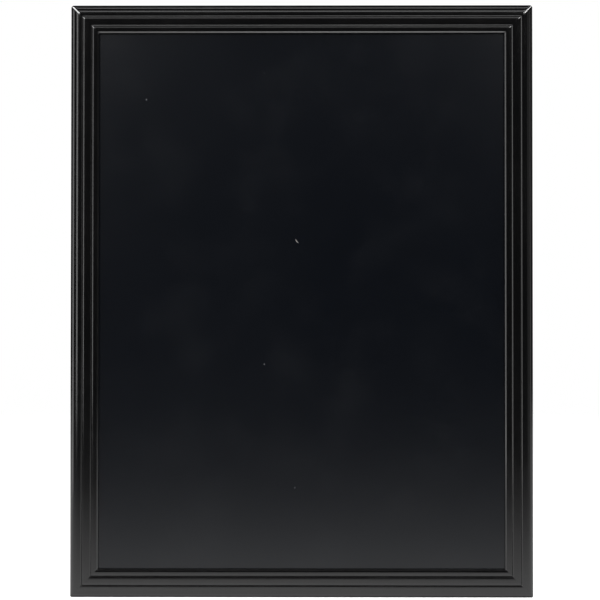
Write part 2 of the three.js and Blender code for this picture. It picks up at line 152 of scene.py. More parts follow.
def new_tree(name, kind, inputs, outputs):
    """A node group with named sockets: {name: (socket type, default)}."""
    tree = bpy.data.node_groups.new(name, kind)
    for label, (socket_type, default) in inputs.items():
        socket = tree.interface.new_socket(name=label, in_out="INPUT", socket_type=socket_type)
        if default is not None:
            socket.default_value = default
    for label, socket_type in outputs.items():
        tree.interface.new_socket(name=label, in_out="OUTPUT", socket_type=socket_type)
    return tree, tree.nodes.new("NodeGroupInput").outputs, tree.nodes.new("NodeGroupOutput").inputs


# %% [markdown]
# ## Effects that several finishes share
#
# Sprayed film, dust, handling marks and rubbed edges turn up on wood, steel and rubber alike.
# Each is one node group with named sizes, and it puts out only masks and heights that change
# over the surface. The numbers that are the same all over stay on each material's own shader.

# %% Soft patches, for anything that has been handled or wiped
def patches_group():
    tree, given, out = new_tree(
        "handled_patches", "ShaderNodeTree",
        {"Place": (VECTOR, None), "Patches Per Metre": (FLOAT, 12.0),
         "Lowest": (FLOAT, 0.1), "Highest": (FLOAT, 0.2)},
        {"Value": FLOAT})
    cloud = noise(tree, given["Place"], given["Patches Per Metre"], 5.0, 0.6, 0.4)
    value = between(tree, cloud, 0.3, 0.7, given["Lowest"], given["Highest"])
    feed(tree, value, out["Value"])
    return tree


HANDLED_PATCHES = patches_group()
print("group", HANDLED_PATCHES.name)

# %% Dust: a thin soft film, and single specks
EMPTY_CELLS = 0.72        # share of the cells that hold no speck
SMALLEST_SPECK = 0.001    # as a share of its cell
CLOUDS_PER_METRE = 9.0


def dust_group():
    tree, given, out = new_tree(
        "settled_dust", "ShaderNodeTree",
        {"Place": (VECTOR, None), "Specks Per Metre": (FLOAT, 60.0),
         "Speck Size": (FLOAT, 0.05), "Film": (FLOAT, 0.1)},
        {"Mask": FLOAT, "Speck Height": FLOAT})
    cells = add(tree, "ShaderNodeTexVoronoi",
                {"Vector": given["Place"], "Scale": given["Specks Per Metre"], "Randomness": 1.0})
    chosen = add(tree, "ShaderNodeSeparateColor", {"Color": cells.outputs["Color"]})
    size = times(tree, given["Speck Size"], chosen.outputs["Green"])
    near = calc(tree, "DIVIDE", cells.outputs["Distance"], larger(tree, size, SMALLEST_SPECK))
    rare = calc(tree, "GREATER_THAN", chosen.outputs["Red"], EMPTY_CELLS)
    speck = times(tree, between(tree, near, 1.0, 0.3), rare)
    cloud = noise(tree, given["Place"], CLOUDS_PER_METRE, 6.0, 0.65)
    film = between(tree, cloud, 0.42, 0.75, 0.0, given["Film"])
    feed(tree, larger(tree, speck, film), out["Mask"])
    feed(tree, speck, out["Speck Height"])
    return tree


SETTLED_DUST = dust_group()
print("group", SETTLED_DUST.name)

# %% Relief of a sprayed film over wood: grain that telegraphs through, and orange peel
GRAIN_PER_METRE = (5.0, 260.0, 260.0)    # along the length, and both ways across it


def film_group():
    tree, given, out = new_tree(
        "sprayed_film", "ShaderNodeTree",
        {"Place": (VECTOR, None), "Peel Per Metre": (FLOAT, 300.0),
         "Peel": (FLOAT, 0.4), "Grain": (FLOAT, 0.6)},
        {"Height": FLOAT})
    peel = times(tree, noise(tree, given["Place"], given["Peel Per Metre"], 2.0, 0.45), given["Peel"])
    drawn = add(tree, "ShaderNodeMapping", {"Vector": given["Place"], "Scale": GRAIN_PER_METRE})
    grain = times(tree, noise(tree, drawn.outputs[0], 1.0, 4.0, 0.55, 0.3), given["Grain"])
    feed(tree, plus(tree, peel, grain), out["Height"])
    return tree


SPRAYED_FILM = film_group()
print("group", SPRAYED_FILM.name)

# %% Rubbed edges, where hands and walls have polished or scuffed a corner
def rub_group():
    tree, given, out = new_tree(
        "rubbed_edges", "ShaderNodeTree",
        {"Place": (VECTOR, None), "Sharpness": (FLOAT, 0.52),
         "Breakup Per Metre": (FLOAT, 90.0), "Amount": (FLOAT, 0.5)},
        {"Mask": FLOAT})
    shape = add(tree, "ShaderNodeNewGeometry")
    sharpest = plus(tree, given["Sharpness"], 0.06)
    edge = between(tree, shape.outputs["Pointiness"], given["Sharpness"], sharpest)
    broken = noise(tree, given["Place"], given["Breakup Per Metre"], 6.0, 0.7)
    mask = times(tree, edge, between(tree, broken, 0.45, 0.7))
    feed(tree, times(tree, mask, given["Amount"]), out["Mask"])
    return tree


RUBBED_EDGES = rub_group()
print("group", RUBBED_EDGES.name)

# %% Hairline marks, long and thin in one direction
def hairline_group():
    tree, given, out = new_tree(
        "hairline_marks", "ShaderNodeTree",
        {"Place": (VECTOR, None), "Turn": (FLOAT, 0.0),
         "Lines Per Metre": (FLOAT, 400.0), "Stretch": (FLOAT, 0.03),
         "Amount": (FLOAT, 1.0)},
        {"Mask": FLOAT})
    turned = add(tree, "ShaderNodeVectorRotate",
                 {"Vector": given["Place"], "Axis": (0.0, 1.0, 0.0), "Angle": given["Turn"]},
                 rotation_type="AXIS_ANGLE")
    flat = add(tree, "ShaderNodeSeparateXYZ", {"Vector": turned.outputs[0]})
    drawn = times(tree, flat.outputs["X"], given["Stretch"])
    place = add(tree, "ShaderNodeCombineXYZ",
                {"X": drawn, "Y": flat.outputs["Y"], "Z": flat.outputs["Z"]})
    lines = noise(tree, place.outputs[0], given["Lines Per Metre"], 3.0, 0.6)
    feed(tree, between(tree, lines, 0.56, 0.72, 0.0, given["Amount"]), out["Mask"])
    return tree


HAIRLINE_MARKS = hairline_group()
print("group", HAIRLINE_MARKS.name)

# %% [markdown]
# ## Finishes
#
# A finish is a Principled shader and a few of the groups above. The group values are different
# for each: a film of lacquer has orange peel and a few nibs, a writing surface has a fine tooth,
# steel has hairlines. What reads a place reads Object coordinates, or on the moulding an
# attribute that runs along it, so that the grain turns the corner with the wood.

# %% A helper that starts a finish
def new_finish(name, **fixed):
    """A material, its tree and its Principled shader, with the values that are the same all over."""
    material = bpy.data.materials.new(name)
    material.use_nodes = True
    tree = material.node_tree
    shader = next(n for n in tree.nodes if n.type == "BSDF_PRINCIPLED")
    for label, value in fixed.items():
        shader.inputs[label.replace("_", " ")].default_value = value
    return material, tree, shader


def object_place(tree):
    return tree.nodes.new("ShaderNodeTexCoord").outputs["Object"]


def group(tree, shared, place, **values):
    """One of the shared effects, placed in a finish with its own values."""
    node = tree.nodes.new("ShaderNodeGroup")
    node.node_tree = shared
    feed(tree, place, node.inputs["Place"])
    for label, value in values.items():
        feed(tree, value, node.inputs[label.replace("_", " ")])
    return node.outputs


COLOUR_A, COLOUR_B, MIXED = 6, 7, 2    # the colour sockets of a Mix node


def tint(tree, mask, under, over):
    """A colour laid over another by a mask; each is a plain colour or a socket."""
    node = add(tree, "ShaderNodeMix", {"Factor": mask}, data_type="RGBA")
    for number, colour in ((COLOUR_A, under), (COLOUR_B, over)):
        linked = isinstance(colour, bpy.types.NodeSocket)
        feed(tree, colour if linked else (*colour, 1), node.inputs[number])
    return node.outputs[MIXED]


def relief(tree, shader, height, depth):
    """A Bump node from a height that feeds the shader's normal."""
    node = add(tree, "ShaderNodeBump", {"Height": height, "Distance": depth, "Strength": 1.0})
    feed(tree, node.outputs["Normal"], shader.inputs["Normal"])


# %% Gloss black lacquer on the moulding
LACQUER_BLACK = (0.0026, 0.0026, 0.0028)
LACQUER_WORN = (0.028, 0.027, 0.026)


def lacquer_finish():
    material, tree, shader = new_finish("frame_lacquer", IOR=1.5)
    place = add(tree, "ShaderNodeAttribute", attribute_name="moulding_place").outputs["Vector"]
    dust = group(tree, SETTLED_DUST, place, Specks_Per_Metre=70.0, Speck_Size=0.05, Film=0.10)
    rub = group(tree, RUBBED_EDGES, place, Sharpness=0.53, Breakup_Per_Metre=60.0, Amount=0.5)
    haze = group(tree, HANDLED_PATCHES, place, Patches_Per_Metre=14.0, Lowest=0.09, Highest=0.15)
    film = group(tree, SPRAYED_FILM, place, Peel_Per_Metre=420.0, Peel=0.35, Grain=0.65)
    worn = larger(tree, times(tree, dust["Mask"], 0.35), rub["Mask"])
    feed(tree, tint(tree, worn, LACQUER_BLACK, LACQUER_WORN), shader.inputs["Base Color"])
    rough = plus(tree, haze["Value"], times(tree, worn, 0.35), clamp=True)
    feed(tree, rough, shader.inputs["Roughness"])
    nibs = times(tree, dust["Speck Height"], 4.5)
    relief(tree, shader, plus(tree, film["Height"], nibs), depth=0.022 * MM)
    return material


FRAME_LACQUER = lacquer_finish()
print("finish", FRAME_LACQUER.name)

# %% The writing coat: satin blue-black with a fine tooth, a few specks and one short scratch
COAT_BLUE_BLACK = (0.0013, 0.0021, 0.0040)
CHALK_DUST = (0.14, 0.143, 0.148)
SCRATCH_PALE = (0.30, 0.29, 0.27)
SCRATCH_CENTRE = (-0.0075, 0.0, -0.281)
SCRATCH_TURN = (0.0, math.radians(52), 0.0)
SCRATCH_LENGTH = 4.2 * MM
SCRATCH_WIDTH = 0.75 * MM
SCRATCH_BEND = 60.0    # how fast it curves away from its tangent, per metre


def coating_finish():
    material, tree, shader = new_finish("chalk_coating", IOR=1.46)
    place = object_place(tree)
    dust = group(tree, SETTLED_DUST, place, Specks_Per_Metre=22.0, Speck_Size=0.046, Film=0.018)
    haze = group(tree, HANDLED_PATCHES, place, Patches_Per_Metre=3.2, Lowest=0.212, Highest=0.230)
    wiped = group(tree, HAIRLINE_MARKS, place, Turn=0.5, Lines_Per_Metre=160.0, Stretch=0.05,
                  Amount=0.35)
    centred = add(tree, "ShaderNodeMapping",
                  {"Vector": place, "Location": SCRATCH_CENTRE, "Rotation": SCRATCH_TURN},
                  vector_type="TEXTURE")
    flat = add(tree, "ShaderNodeSeparateXYZ", {"Vector": centred.outputs[0]})
    along = calc(tree, "ABSOLUTE", flat.outputs["X"])
    bend = times(tree, calc(tree, "POWER", along, 2.0), SCRATCH_BEND)
    across = calc(tree, "ABSOLUTE", minus(tree, flat.outputs["Z"], bend))
    length = between(tree, along, SCRATCH_LENGTH, SCRATCH_LENGTH * 0.5)
    scratch = times(tree, length, between(tree, across, SCRATCH_WIDTH, SCRATCH_WIDTH * 0.3))
    wear = larger(tree, times(tree, wiped["Mask"], 0.018), dust["Mask"])
    base = tint(tree, wear, COAT_BLUE_BLACK, CHALK_DUST)
    feed(tree, tint(tree, scratch, base, SCRATCH_PALE), shader.inputs["Base Color"])
    feed(tree, haze["Value"], shader.inputs["Roughness"])
    tooth = group(tree, SPRAYED_FILM, place, Peel_Per_Metre=1500.0, Peel=1.0, Grain=0.0)
    relief(tree, shader, minus(tree, tooth["Height"], scratch), depth=0.01 * MM)
    return material


CHALK_COATING = coating_finish()
print("finish", CHALK_COATING.name)

# %% Hardboard, on the panel's back and edges: brown, felted, with the marks of the press screen
HARDBOARD_BROWNS = ((0.115, 0.062, 0.030), (0.205, 0.122, 0.066))
SAWDUST = (0.42, 0.36, 0.29)
SCREEN_PER_METRE = 620.0


def hardboard_finish():
    material, tree, shader = new_finish("panel_hardboard")
    place = object_place(tree)
    fibre = group(tree, HAIRLINE_MARKS, place, Turn=0.9, Lines_Per_Metre=700.0, Stretch=0.15,
                  Amount=1.0)
    cross = group(tree, HAIRLINE_MARKS, place, Turn=-0.6, Lines_Per_Metre=560.0, Stretch=0.12,
                  Amount=0.8)
    fibres = larger(tree, fibre["Mask"], cross["Mask"])
    haze = group(tree, HANDLED_PATCHES, place, Patches_Per_Metre=7.0, Lowest=0.0, Highest=0.6)
    dust = group(tree, SETTLED_DUST, place, Specks_Per_Metre=90.0, Speck_Size=0.12, Film=0.2)
    tone = plus(tree, times(tree, fibres, 0.5), haze["Value"], clamp=True)
    brown = tint(tree, tone, *HARDBOARD_BROWNS)
    dusty = tint(tree, times(tree, dust["Mask"], 0.5), brown, SAWDUST)
    feed(tree, dusty, shader.inputs["Base Color"])
    rough = group(tree, HANDLED_PATCHES, place, Patches_Per_Metre=20.0, Lowest=0.62, Highest=0.78)
    feed(tree, rough["Value"], shader.inputs["Roughness"])
    screen = add(tree, "ShaderNodeTexVoronoi",
                 {"Vector": place, "Scale": SCREEN_PER_METRE, "Randomness": 0.15})
    height = plus(tree, screen.outputs["Distance"], times(tree, fibres, 0.6))
    relief(tree, shader, height, depth=0.1 * MM)
    return material


PANEL_HARDBOARD = hardboard_finish()
print("finish", PANEL_HARDBOARD.name)

# %% Steel: zinc-plated strap, bright ring, screws, and the blued fixings of the frame maker
RUST = (0.19, 0.10, 0.055)


def steel_finish(name, dark, light, roughness, lines, marks, rust):
    material, tree, shader = new_finish(name, Metallic=1.0)
    place = object_place(tree)
    hair = group(tree, HAIRLINE_MARKS, place, Turn=1.1, Lines_Per_Metre=lines, Stretch=0.06,
                 Amount=marks)
    tone = group(tree, HANDLED_PATCHES, place, Patches_Per_Metre=260.0, Lowest=0.0, Highest=1.0)
    rub = group(tree, RUBBED_EDGES, place, Sharpness=0.53, Breakup_Per_Metre=400.0, Amount=0.8)
    dust = group(tree, SETTLED_DUST, place, Specks_Per_Metre=900.0, Speck_Size=0.3, Film=0.3)
    plated = tint(tree, larger(tree, tone["Value"], rub["Mask"]), dark, light)
    spotted = tint(tree, times(tree, dust["Mask"], rust), plated, RUST)
    feed(tree, spotted, shader.inputs["Base Color"])
    haze = group(tree, HANDLED_PATCHES, place, Patches_Per_Metre=180.0, Lowest=roughness[0],
                 Highest=roughness[1])
    rough = plus(tree, haze["Value"], times(tree, hair["Mask"], 0.12), clamp=True)
    feed(tree, rough, shader.inputs["Roughness"])
    height = minus(tree, times(tree, dust["Speck Height"], 0.4), hair["Mask"])
    relief(tree, shader, height, depth=0.006 * MM)
    return material


STRAP_ZINC = steel_finish("strap_zinc", (0.50, 0.51, 0.52), (0.72, 0.73, 0.72),
                          roughness=(0.30, 0.44), lines=2200.0, marks=0.9, rust=0.15)
RING_STEEL = steel_finish("ring_bright_steel", (0.56, 0.55, 0.52), (0.78, 0.77, 0.74),
                          roughness=(0.14, 0.26), lines=2600.0, marks=0.5, rust=0.10)
SCREW_STEEL = steel_finish("screw_steel", (0.52, 0.49, 0.40), (0.76, 0.72, 0.60),
                           roughness=(0.22, 0.34), lines=2400.0, marks=0.8, rust=0.20)
POINT_STEEL = steel_finish("point_steel", (0.25, 0.26, 0.28), (0.46, 0.47, 0.48),
                           roughness=(0.30, 0.45), lines=1800.0, marks=1.0, rust=0.45)
print("finishes", STRAP_ZINC.name, RING_STEEL.name, SCREW_STEEL.name, POINT_STEEL.name)

# %% Moulded rubber for the bumper pads
RUBBER_BLACK = (0.014, 0.014, 0.014)
RUBBER_WORN = (0.10, 0.098, 0.094)


def rubber_finish():
    material, tree, shader = new_finish("pad_rubber", IOR=1.48)
    place = object_place(tree)
    bloom = group(tree, HANDLED_PATCHES, place, Patches_Per_Metre=160.0, Lowest=0.0, Highest=0.7)
    dust = group(tree, SETTLED_DUST, place, Specks_Per_Metre=700.0, Speck_Size=0.25, Film=0.5)
    rub = group(tree, RUBBED_EDGES, place, Sharpness=0.52, Breakup_Per_Metre=500.0, Amount=0.8)
    mask = larger(tree, times(tree, dust["Mask"], 0.6), rub["Mask"])
    mask = larger(tree, mask, times(tree, bloom["Value"], 0.3))
    feed(tree, tint(tree, mask, RUBBER_BLACK, RUBBER_WORN), shader.inputs["Base Color"])
    haze = group(tree, HANDLED_PATCHES, place, Patches_Per_Metre=220.0, Lowest=0.55, Highest=0.78)
    feed(tree, haze["Value"], shader.inputs["Roughness"])
    relief(tree, shader, noise(tree, place, scale=5200.0), depth=0.03 * MM)
    return material


PAD_RUBBER = rubber_finish()
print("finish", PAD_RUBBER.name)

# %% [markdown]
# ## The moulding's section
#
# A picture-frame moulding is a long stick of wood run through cutters, so its whole form is one
# section: an outer ovolo, a flat crown, and two bands that step down towards the panel. Between
# them lie V-shaped valleys: a short slope faces the panel, and the rounded shoulder of the next
# band rises from its foot. The slopes and the shoulders draw the thin lines that are seen from the
# front. Across the section, u runs inward from the outer edge and h forward from the back plane.
# It could be traced point by point, but naming its forms keeps each one adjustable.

# %% Sizes of the section, in millimetres
CROWN_HEIGHT = 20.0
OVOLO_WIDTH = 13.3
OVOLO_RISE = 9.5
BACK_CHAMFER = 0.8
CROWN_WIDTH = 3.5
SLOPE_TILT = 47.0
SLOPE_WIDTHS = (1.45, 1.5, 1.7)
BAND_2 = {"width": 12.5, "top": 19.5, "shoulder": 4.2, "fall": 0.25}
BAND_3 = {"width": 8.6, "top": 18.7, "shoulder": 4.0, "fall": 0.4}
LIP_WIDTH = 0.4
RABBET_WIDTH = 8.0
SIGHT_WALL_DEPTH = 4.3
ARRIS_RADIUS = 0.2
ARRIS_SHARE = 0.45                # the most that an arris takes of each face beside it
SHARP_CORNER = math.radians(28)   # a corner that turns more than this is an arris
OVOLO_STEPS, BAND_STEPS, ARRIS_STEPS = 30, 14, 3
print("crown", CROWN_HEIGHT, "mm, slopes at", SLOPE_TILT, "degrees")

# %% The section as a list of points
def arc(cx, cy, rx, ry, start, end, steps):
    """Points on an arc, both ends included, angles in degrees."""
    turn = [math.radians(start + (end - start) * i / steps) for i in range(steps + 1)]
    return [(cx + rx * math.cos(t), cy + ry * math.sin(t)) for t in turn]


def slope_end(start, height, width):
    """The foot of a slope that falls towards the panel."""
    return (start + width, height - width * math.tan(math.radians(SLOPE_TILT)))


def band(valley, form):
    """A band from the valley in front of it: a round shoulder, then a face that falls ever faster."""
    start = valley[0] + form["shoulder"]
    points = arc(start, valley[1], form["shoulder"], form["top"] - valley[1], 180, 90, BAND_STEPS)
    run = form["width"] - form["shoulder"]
    for i in range(1, BAND_STEPS + 1):
        t = i / BAND_STEPS
        points.append((start + run * t, form["top"] - form["fall"] * t ** 3))
    return points


def section_points():
    """The whole section, from the rabbet round the back and over the front, in millimetres."""
    crown_edge = (OVOLO_WIDTH + CROWN_WIDTH, CROWN_HEIGHT)
    valley_1 = slope_end(*crown_edge, SLOPE_WIDTHS[0])
    band_2 = band(valley_1, BAND_2)
    valley_2 = slope_end(*band_2[-1], SLOPE_WIDTHS[1])
    band_3 = band(valley_2, BAND_3)
    lip = slope_end(*band_3[-1], SLOPE_WIDTHS[2])
    face = lip[0] + LIP_WIDTH
    rabbet = lip[1] - SIGHT_WALL_DEPTH
    side = CROWN_HEIGHT - OVOLO_RISE
    ovolo = arc(OVOLO_WIDTH, side, OVOLO_WIDTH, OVOLO_RISE, 180, 90, OVOLO_STEPS)
    wall = face - RABBET_WIDTH
    back = [(wall, rabbet), (wall, 0), (BACK_CHAMFER, 0), (0, BACK_CHAMFER)]
    return back + ovolo + [crown_edge] + band_2 + band_3 + [lip, (face, lip[1]), (face, rabbet)]


def eased(points, radius):
    """The closed outline with every sharp corner turned over a small curve, as lacquer turns it."""
    done = []
    count = len(points)
    for i, point in enumerate(points):
        here = Vector(point)
        before = here - Vector(points[i - 1])
        after = Vector(points[(i + 1) % count]) - here
        if min(before.length, after.length) < 1e-6 or before.angle(after) < SHARP_CORNER:
            done.append(tuple(here))
            continue
        reach = min(radius, before.length * ARRIS_SHARE, after.length * ARRIS_SHARE)
        start = here - before.normalized() * reach
        end = here + after.normalized() * reach
        for k in range(ARRIS_STEPS + 1):
            t = k / ARRIS_STEPS
            done.append(tuple(start * (1 - t) ** 2 + here * 2 * t * (1 - t) + end * t ** 2))
    return done


SECTION = eased(section_points(), ARRIS_RADIUS)
print("section of", len(SECTION), "points,", round(max(p[1] for p in SECTION), 2), "mm high")

# %% [markdown]
# ## The rails and stiles, swept by a rule
#
# One length of moulding could be extruded and cut at 45 degrees by hand. Geometry Nodes do it by
# a rule instead: the section is swept along a straight run of stations, and each line of the
# section stops where it meets the mitre, which is nearer the middle the further in the line lies.
# At the very end each line turns the corner over a small curve and a narrow facet, because sanding
# and lacquer flatten a mitred ridge. That facet catches the light at the top corners. The foot
# corners are eased less, so that they stay square. The same tree makes all four lengths, so every
# size is a named input.

# %% The tree that sweeps a mitred length
STATIONS = 45                         # cross-sections along one length
CROWDING = 3.0                        # how strongly they crowd towards the mitres
EASE_TURN = 0.2                       # share of an eased corner that is curve, before the facet
EASE_FADE = (12.5 * MM, 16.5 * MM)    # how far in from the outer edge the easing grows less
INNER_EASE = 0.3                      # share of it that is left further in


def attribute(tree, name):
    return add(tree, "GeometryNodeInputNamedAttribute", {"Name": name}, data_type="FLOAT").outputs[0]


def moulding_tree():
    tree, given, out = new_tree(
        "mitred_length", "GeometryNodeTree",
        {"Section": (GEOMETRY, None), "Outer Length": (FLOAT, 0.7), "Stations": (INTEGER, STATIONS),
         "Crowding": (FLOAT, CROWDING), "Ease At Start": (FLOAT, 0.0025),
         "Ease At End": (FLOAT, 0.0025), "Finish": (MATERIAL, None)},
        {"Geometry": GEOMETRY})
    position = tree.nodes.new("GeometryNodeInputPosition").outputs[0]
    place = add(tree, "ShaderNodeSeparateXYZ", {0: position})

    def kept(geometry, name, value, kind="FLOAT"):
        node = add(tree, "GeometryNodeStoreNamedAttribute", {"Geometry": geometry, "Name": name},
                   data_type=kind, domain="POINT")
        feed(tree, value, node.inputs["Value"])
        return node.outputs[0]

    section = kept(given["Section"], "inward", place.outputs["X"])
    section = kept(section, "forward", place.outputs["Y"])
    section = add(tree, "GeometryNodeMeshToCurve", {"Mesh": section}).outputs[0]
    path = add(tree, "GeometryNodeCurvePrimitiveLine",
               {"Start": (-1.0, 0.0, 0.0), "End": (1.0, 0.0, 0.0)})
    path = add(tree, "GeometryNodeResampleCurve",
               {"Curve": path.outputs[0], "Count": given["Stations"]})
    path = kept(path.outputs[0], "run", place.outputs["X"])
    swept = add(tree, "GeometryNodeCurveToMesh",
                {"Curve": path, "Profile Curve": section, "Fill Caps": True})

    run, inward, forward = (attribute(tree, name) for name in ("run", "inward", "forward"))
    mitre = minus(tree, times(tree, given["Outer Length"], 0.5), inward)
    to_middle = minus(tree, 1.0, calc(tree, "ABSOLUTE", run))
    from_mitre = times(tree, mitre, calc(tree, "POWER", to_middle, given["Crowding"]))
    at_end = calc(tree, "GREATER_THAN", run, 0.0)
    change = minus(tree, given["Ease At End"], given["Ease At Start"])
    corner = plus(tree, given["Ease At Start"], times(tree, at_end, change))
    ease = times(tree, corner, between(tree, inward, *EASE_FADE, 1.0, INNER_EASE))
    short = larger(tree, minus(tree, ease, from_mitre), 0.0)
    turned = times(tree, ease, EASE_TURN)
    square = calc(tree, "POWER", calc(tree, "MINIMUM", short, turned), 2.0)
    curve = calc(tree, "DIVIDE", square, times(tree, turned, 4.0))
    facet = times(tree, larger(tree, minus(tree, short, turned), 0.0), 0.5)
    shift = plus(tree, curve, facet)
    reach = minus(tree, minus(tree, mitre, from_mitre), shift)
    along = times(tree, reach, calc(tree, "SIGN", run))
    moved = add(tree, "ShaderNodeCombineXYZ",
                {"X": along, "Y": plus(tree, inward, shift), "Z": forward})
    shaped = add(tree, "GeometryNodeSetPosition",
                 {"Geometry": swept.outputs[0], "Position": moved.outputs[0]})
    stored = add(tree, "ShaderNodeCombineXYZ", {"X": along, "Y": inward, "Z": forward})
    body = kept(shaped.outputs[0], "moulding_place", stored.outputs[0], "FLOAT_VECTOR")
    finish_tree(tree, body, given["Finish"], out["Geometry"], sharp_angle=0.7)
    return tree


def finish_tree(tree, geometry, material, output, sharp_angle):
    """Smooth faces, sharp edges past an angle, real geometry, and its finish."""
    smooth = add(tree, "GeometryNodeSetShadeSmooth",
                 {"Geometry": geometry, "Shade Smooth": True}, domain="FACE")
    angle = tree.nodes.new("GeometryNodeInputMeshEdgeAngle").outputs["Unsigned Angle"]
    sharp = calc(tree, "GREATER_THAN", angle, sharp_angle)
    crisp = add(tree, "GeometryNodeSetShadeSmooth",
                {"Geometry": smooth.outputs[0], "Selection": sharp, "Shade Smooth": False},
                domain="EDGE")
    real = add(tree, "GeometryNodeRealizeInstances", {"Geometry": crisp.outputs[0]})
    done = add(tree, "GeometryNodeSetMaterial", {"Geometry": real.outputs[0], "Material": material})
    tree.links.new(done.outputs[0], output)


MITRED_LENGTH = moulding_tree()
print("tree", MITRED_LENGTH.name, "with", len(MITRED_LENGTH.nodes), "nodes")

# %% Run a tree on a blank, and keep the result as a plain mesh
def placed(name, data):
    """A new object in the scene."""
    made = bpy.data.objects.new(name, data)
    scene.collection.objects.link(made)
    return made


def mesh_object(name, points, edges=(), faces=()):
    mesh = bpy.data.meshes.new(name)
    mesh.from_pydata([tuple(point) for point in points], edges, faces)
    mesh.update()
    return placed(name, mesh)


def drawn_object(name, model):
    """A bmesh model written out as an object; the model goes."""
    mesh = bpy.data.meshes.new(name)
    model.to_mesh(mesh)
    model.free()
    return placed(name, mesh)


def grown(blank, tree, name, **values):
    """The blank run through a tree, as a plain mesh piece with no modifier left."""
    modifier = blank.modifiers.new(tree.name, "NODES")
    modifier.node_group = tree
    for item in tree.interface.items_tree:
        label = item.name.replace(" ", "_")
        if item.item_type == "SOCKET" and item.in_out == "INPUT" and label in values:
            modifier[item.identifier] = values[label]
    return plain(blank, name)


def plain(blank, name):
    """The evaluated object as a mesh of its own; the blank and its modifiers go."""
    graph = bpy.context.evaluated_depsgraph_get()
    mesh = bpy.data.meshes.new_from_object(blank.evaluated_get(graph), depsgraph=graph,
                                           preserve_all_data_layers=True)
    old = blank.data
    bpy.data.objects.remove(blank)
    bpy.data.meshes.remove(old)
    mesh.name = name
    piece = placed(name, mesh)
    face_outward(piece)
    return piece


def face_outward(piece):
    """Turn the faces round if the closed mesh has them inside out."""
    model = bmesh.new()
    model.from_mesh(piece.data)
    if model.calc_volume(signed=True) < 0:
        bmesh.ops.reverse_faces(model, faces=model.faces)
        model.to_mesh(piece.data)
    model.free()


def report(piece):
    size = [round(side / MM, 1) for side in piece.dimensions]
    print(piece.name, len(piece.data.polygons), "faces,", size, "mm")


# %% The four lengths of moulding
TOP_EASE = 3.0 * MM     # how far back from the corner a mitred ridge is flattened
FOOT_EASE = 1.2 * MM
FORWARD = Vector((0, -1, 0))
LENGTHS = {    # outer length, way inward, middle of the outer edge, easing at its start and end
    "top_rail": (BOARD_WIDTH, (0, 0, -1), (0, BACK_PLANE, BOARD_TOP), (TOP_EASE, TOP_EASE)),
    "bottom_rail": (BOARD_WIDTH, (0, 0, 1), (0, BACK_PLANE, BOARD_BOTTOM), (FOOT_EASE, FOOT_EASE)),
    "left_stile": (BOARD_HEIGHT, (1, 0, 0), (BOARD_LEFT, BACK_PLANE, MIDDLE_HEIGHT),
                   (TOP_EASE, FOOT_EASE)),
    "right_stile": (BOARD_HEIGHT, (-1, 0, 0), (BOARD_RIGHT, BACK_PLANE, MIDDLE_HEIGHT),
                    (FOOT_EASE, TOP_EASE)),
}


def closed_loop(count):
    """Edges that join so many points in a ring."""
    return [(i, (i + 1) % count) for i in range(count)]


def moulding_length(node, length, inward, middle, eases):
    """One length of moulding, its outer edge through its middle point."""
    points = [(u * MM, h * MM, 0) for u, h in SECTION]
    blank = mesh_object(node + "_section", points, closed_loop(len(points)))
    piece = grown(blank, MITRED_LENGTH, node + "_lacquered", Outer_Length=length,
                  Stations=STATIONS, Crowding=CROWDING, Ease_At_Start=eases[0],
                  Ease_At_End=eases[1], Finish=FRAME_LACQUER)
    inward = Vector(inward)
    turn = Matrix((inward.cross(FORWARD), inward, FORWARD)).transposed().to_4x4()
    piece.data.transform(Matrix.Translation(Vector(middle)) @ turn)
    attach(piece, "board")
    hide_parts(node)
    report(piece)


for node, given in LENGTHS.items():
    moulding_length(node, *given)

# %% [markdown]
# ## The writing panel
#
# A chalkboard panel is hardboard with a sprayed writing coat on its face. The coat wraps the
# front arris a little, and the back and edges stay bare brown board. A box would do for its
# outline, but its arrises are softened here and its faces carry two finishes.

# %% The coated hardboard panel
PANEL_CORNER = 1.5 * MM
PANEL_ARRIS = 0.35 * MM
COATED_NORMAL = -0.4    # faces whose normal has a lower Y take the coat


def rounded_rectangle(half_x, half_z, radius, steps=5):
    points = []
    for sx, sz, start in ((1, 1, 0), (-1, 1, 90), (-1, -1, 180), (1, -1, 270)):
        points += arc(sx * (half_x - radius), sz * (half_z - radius), radius, radius,
                      start, start + 90, steps)
    return points


def writing_panel():
    """A flat board with rounded corners: rings of points from the back face round to the front."""
    low, high, middle = measured("writing_panel")
    half = (high - low) / 2
    rings = [(PANEL_ARRIS, high.y), (0.0, high.y - PANEL_ARRIS),
             (0.0, low.y + PANEL_ARRIS), (PANEL_ARRIS, low.y)]
    points, faces = [], []
    for inset, y in rings:
        for x, z in rounded_rectangle(half.x - inset, half.z - inset, PANEL_CORNER):
            points.append((middle.x + x, y, middle.z + z))
    count = len(points) // len(rings)
    for ring in range(len(rings) - 1):
        for i in range(count):
            a, b = ring * count + i, ring * count + (i + 1) % count
            faces.append((a, b, b + count, a + count))
    faces.append(tuple(range(count)))
    faces.append(tuple(reversed(range(count * (len(rings) - 1), count * len(rings)))))
    panel = mesh_object("writing_panel_coated", points, (), faces)
    model = bmesh.new()
    model.from_mesh(panel.data)
    bmesh.ops.recalc_face_normals(model, faces=model.faces)
    model.to_mesh(panel.data)
    model.free()
    panel.data.update()
    panel.data.materials.append(PANEL_HARDBOARD)
    panel.data.materials.append(CHALK_COATING)
    for polygon in panel.data.polygons:
        polygon.material_index = 1 if polygon.normal.y < COATED_NORMAL else 0
    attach(panel, "board")
    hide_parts("writing_panel")
    report(panel)


writing_panel()
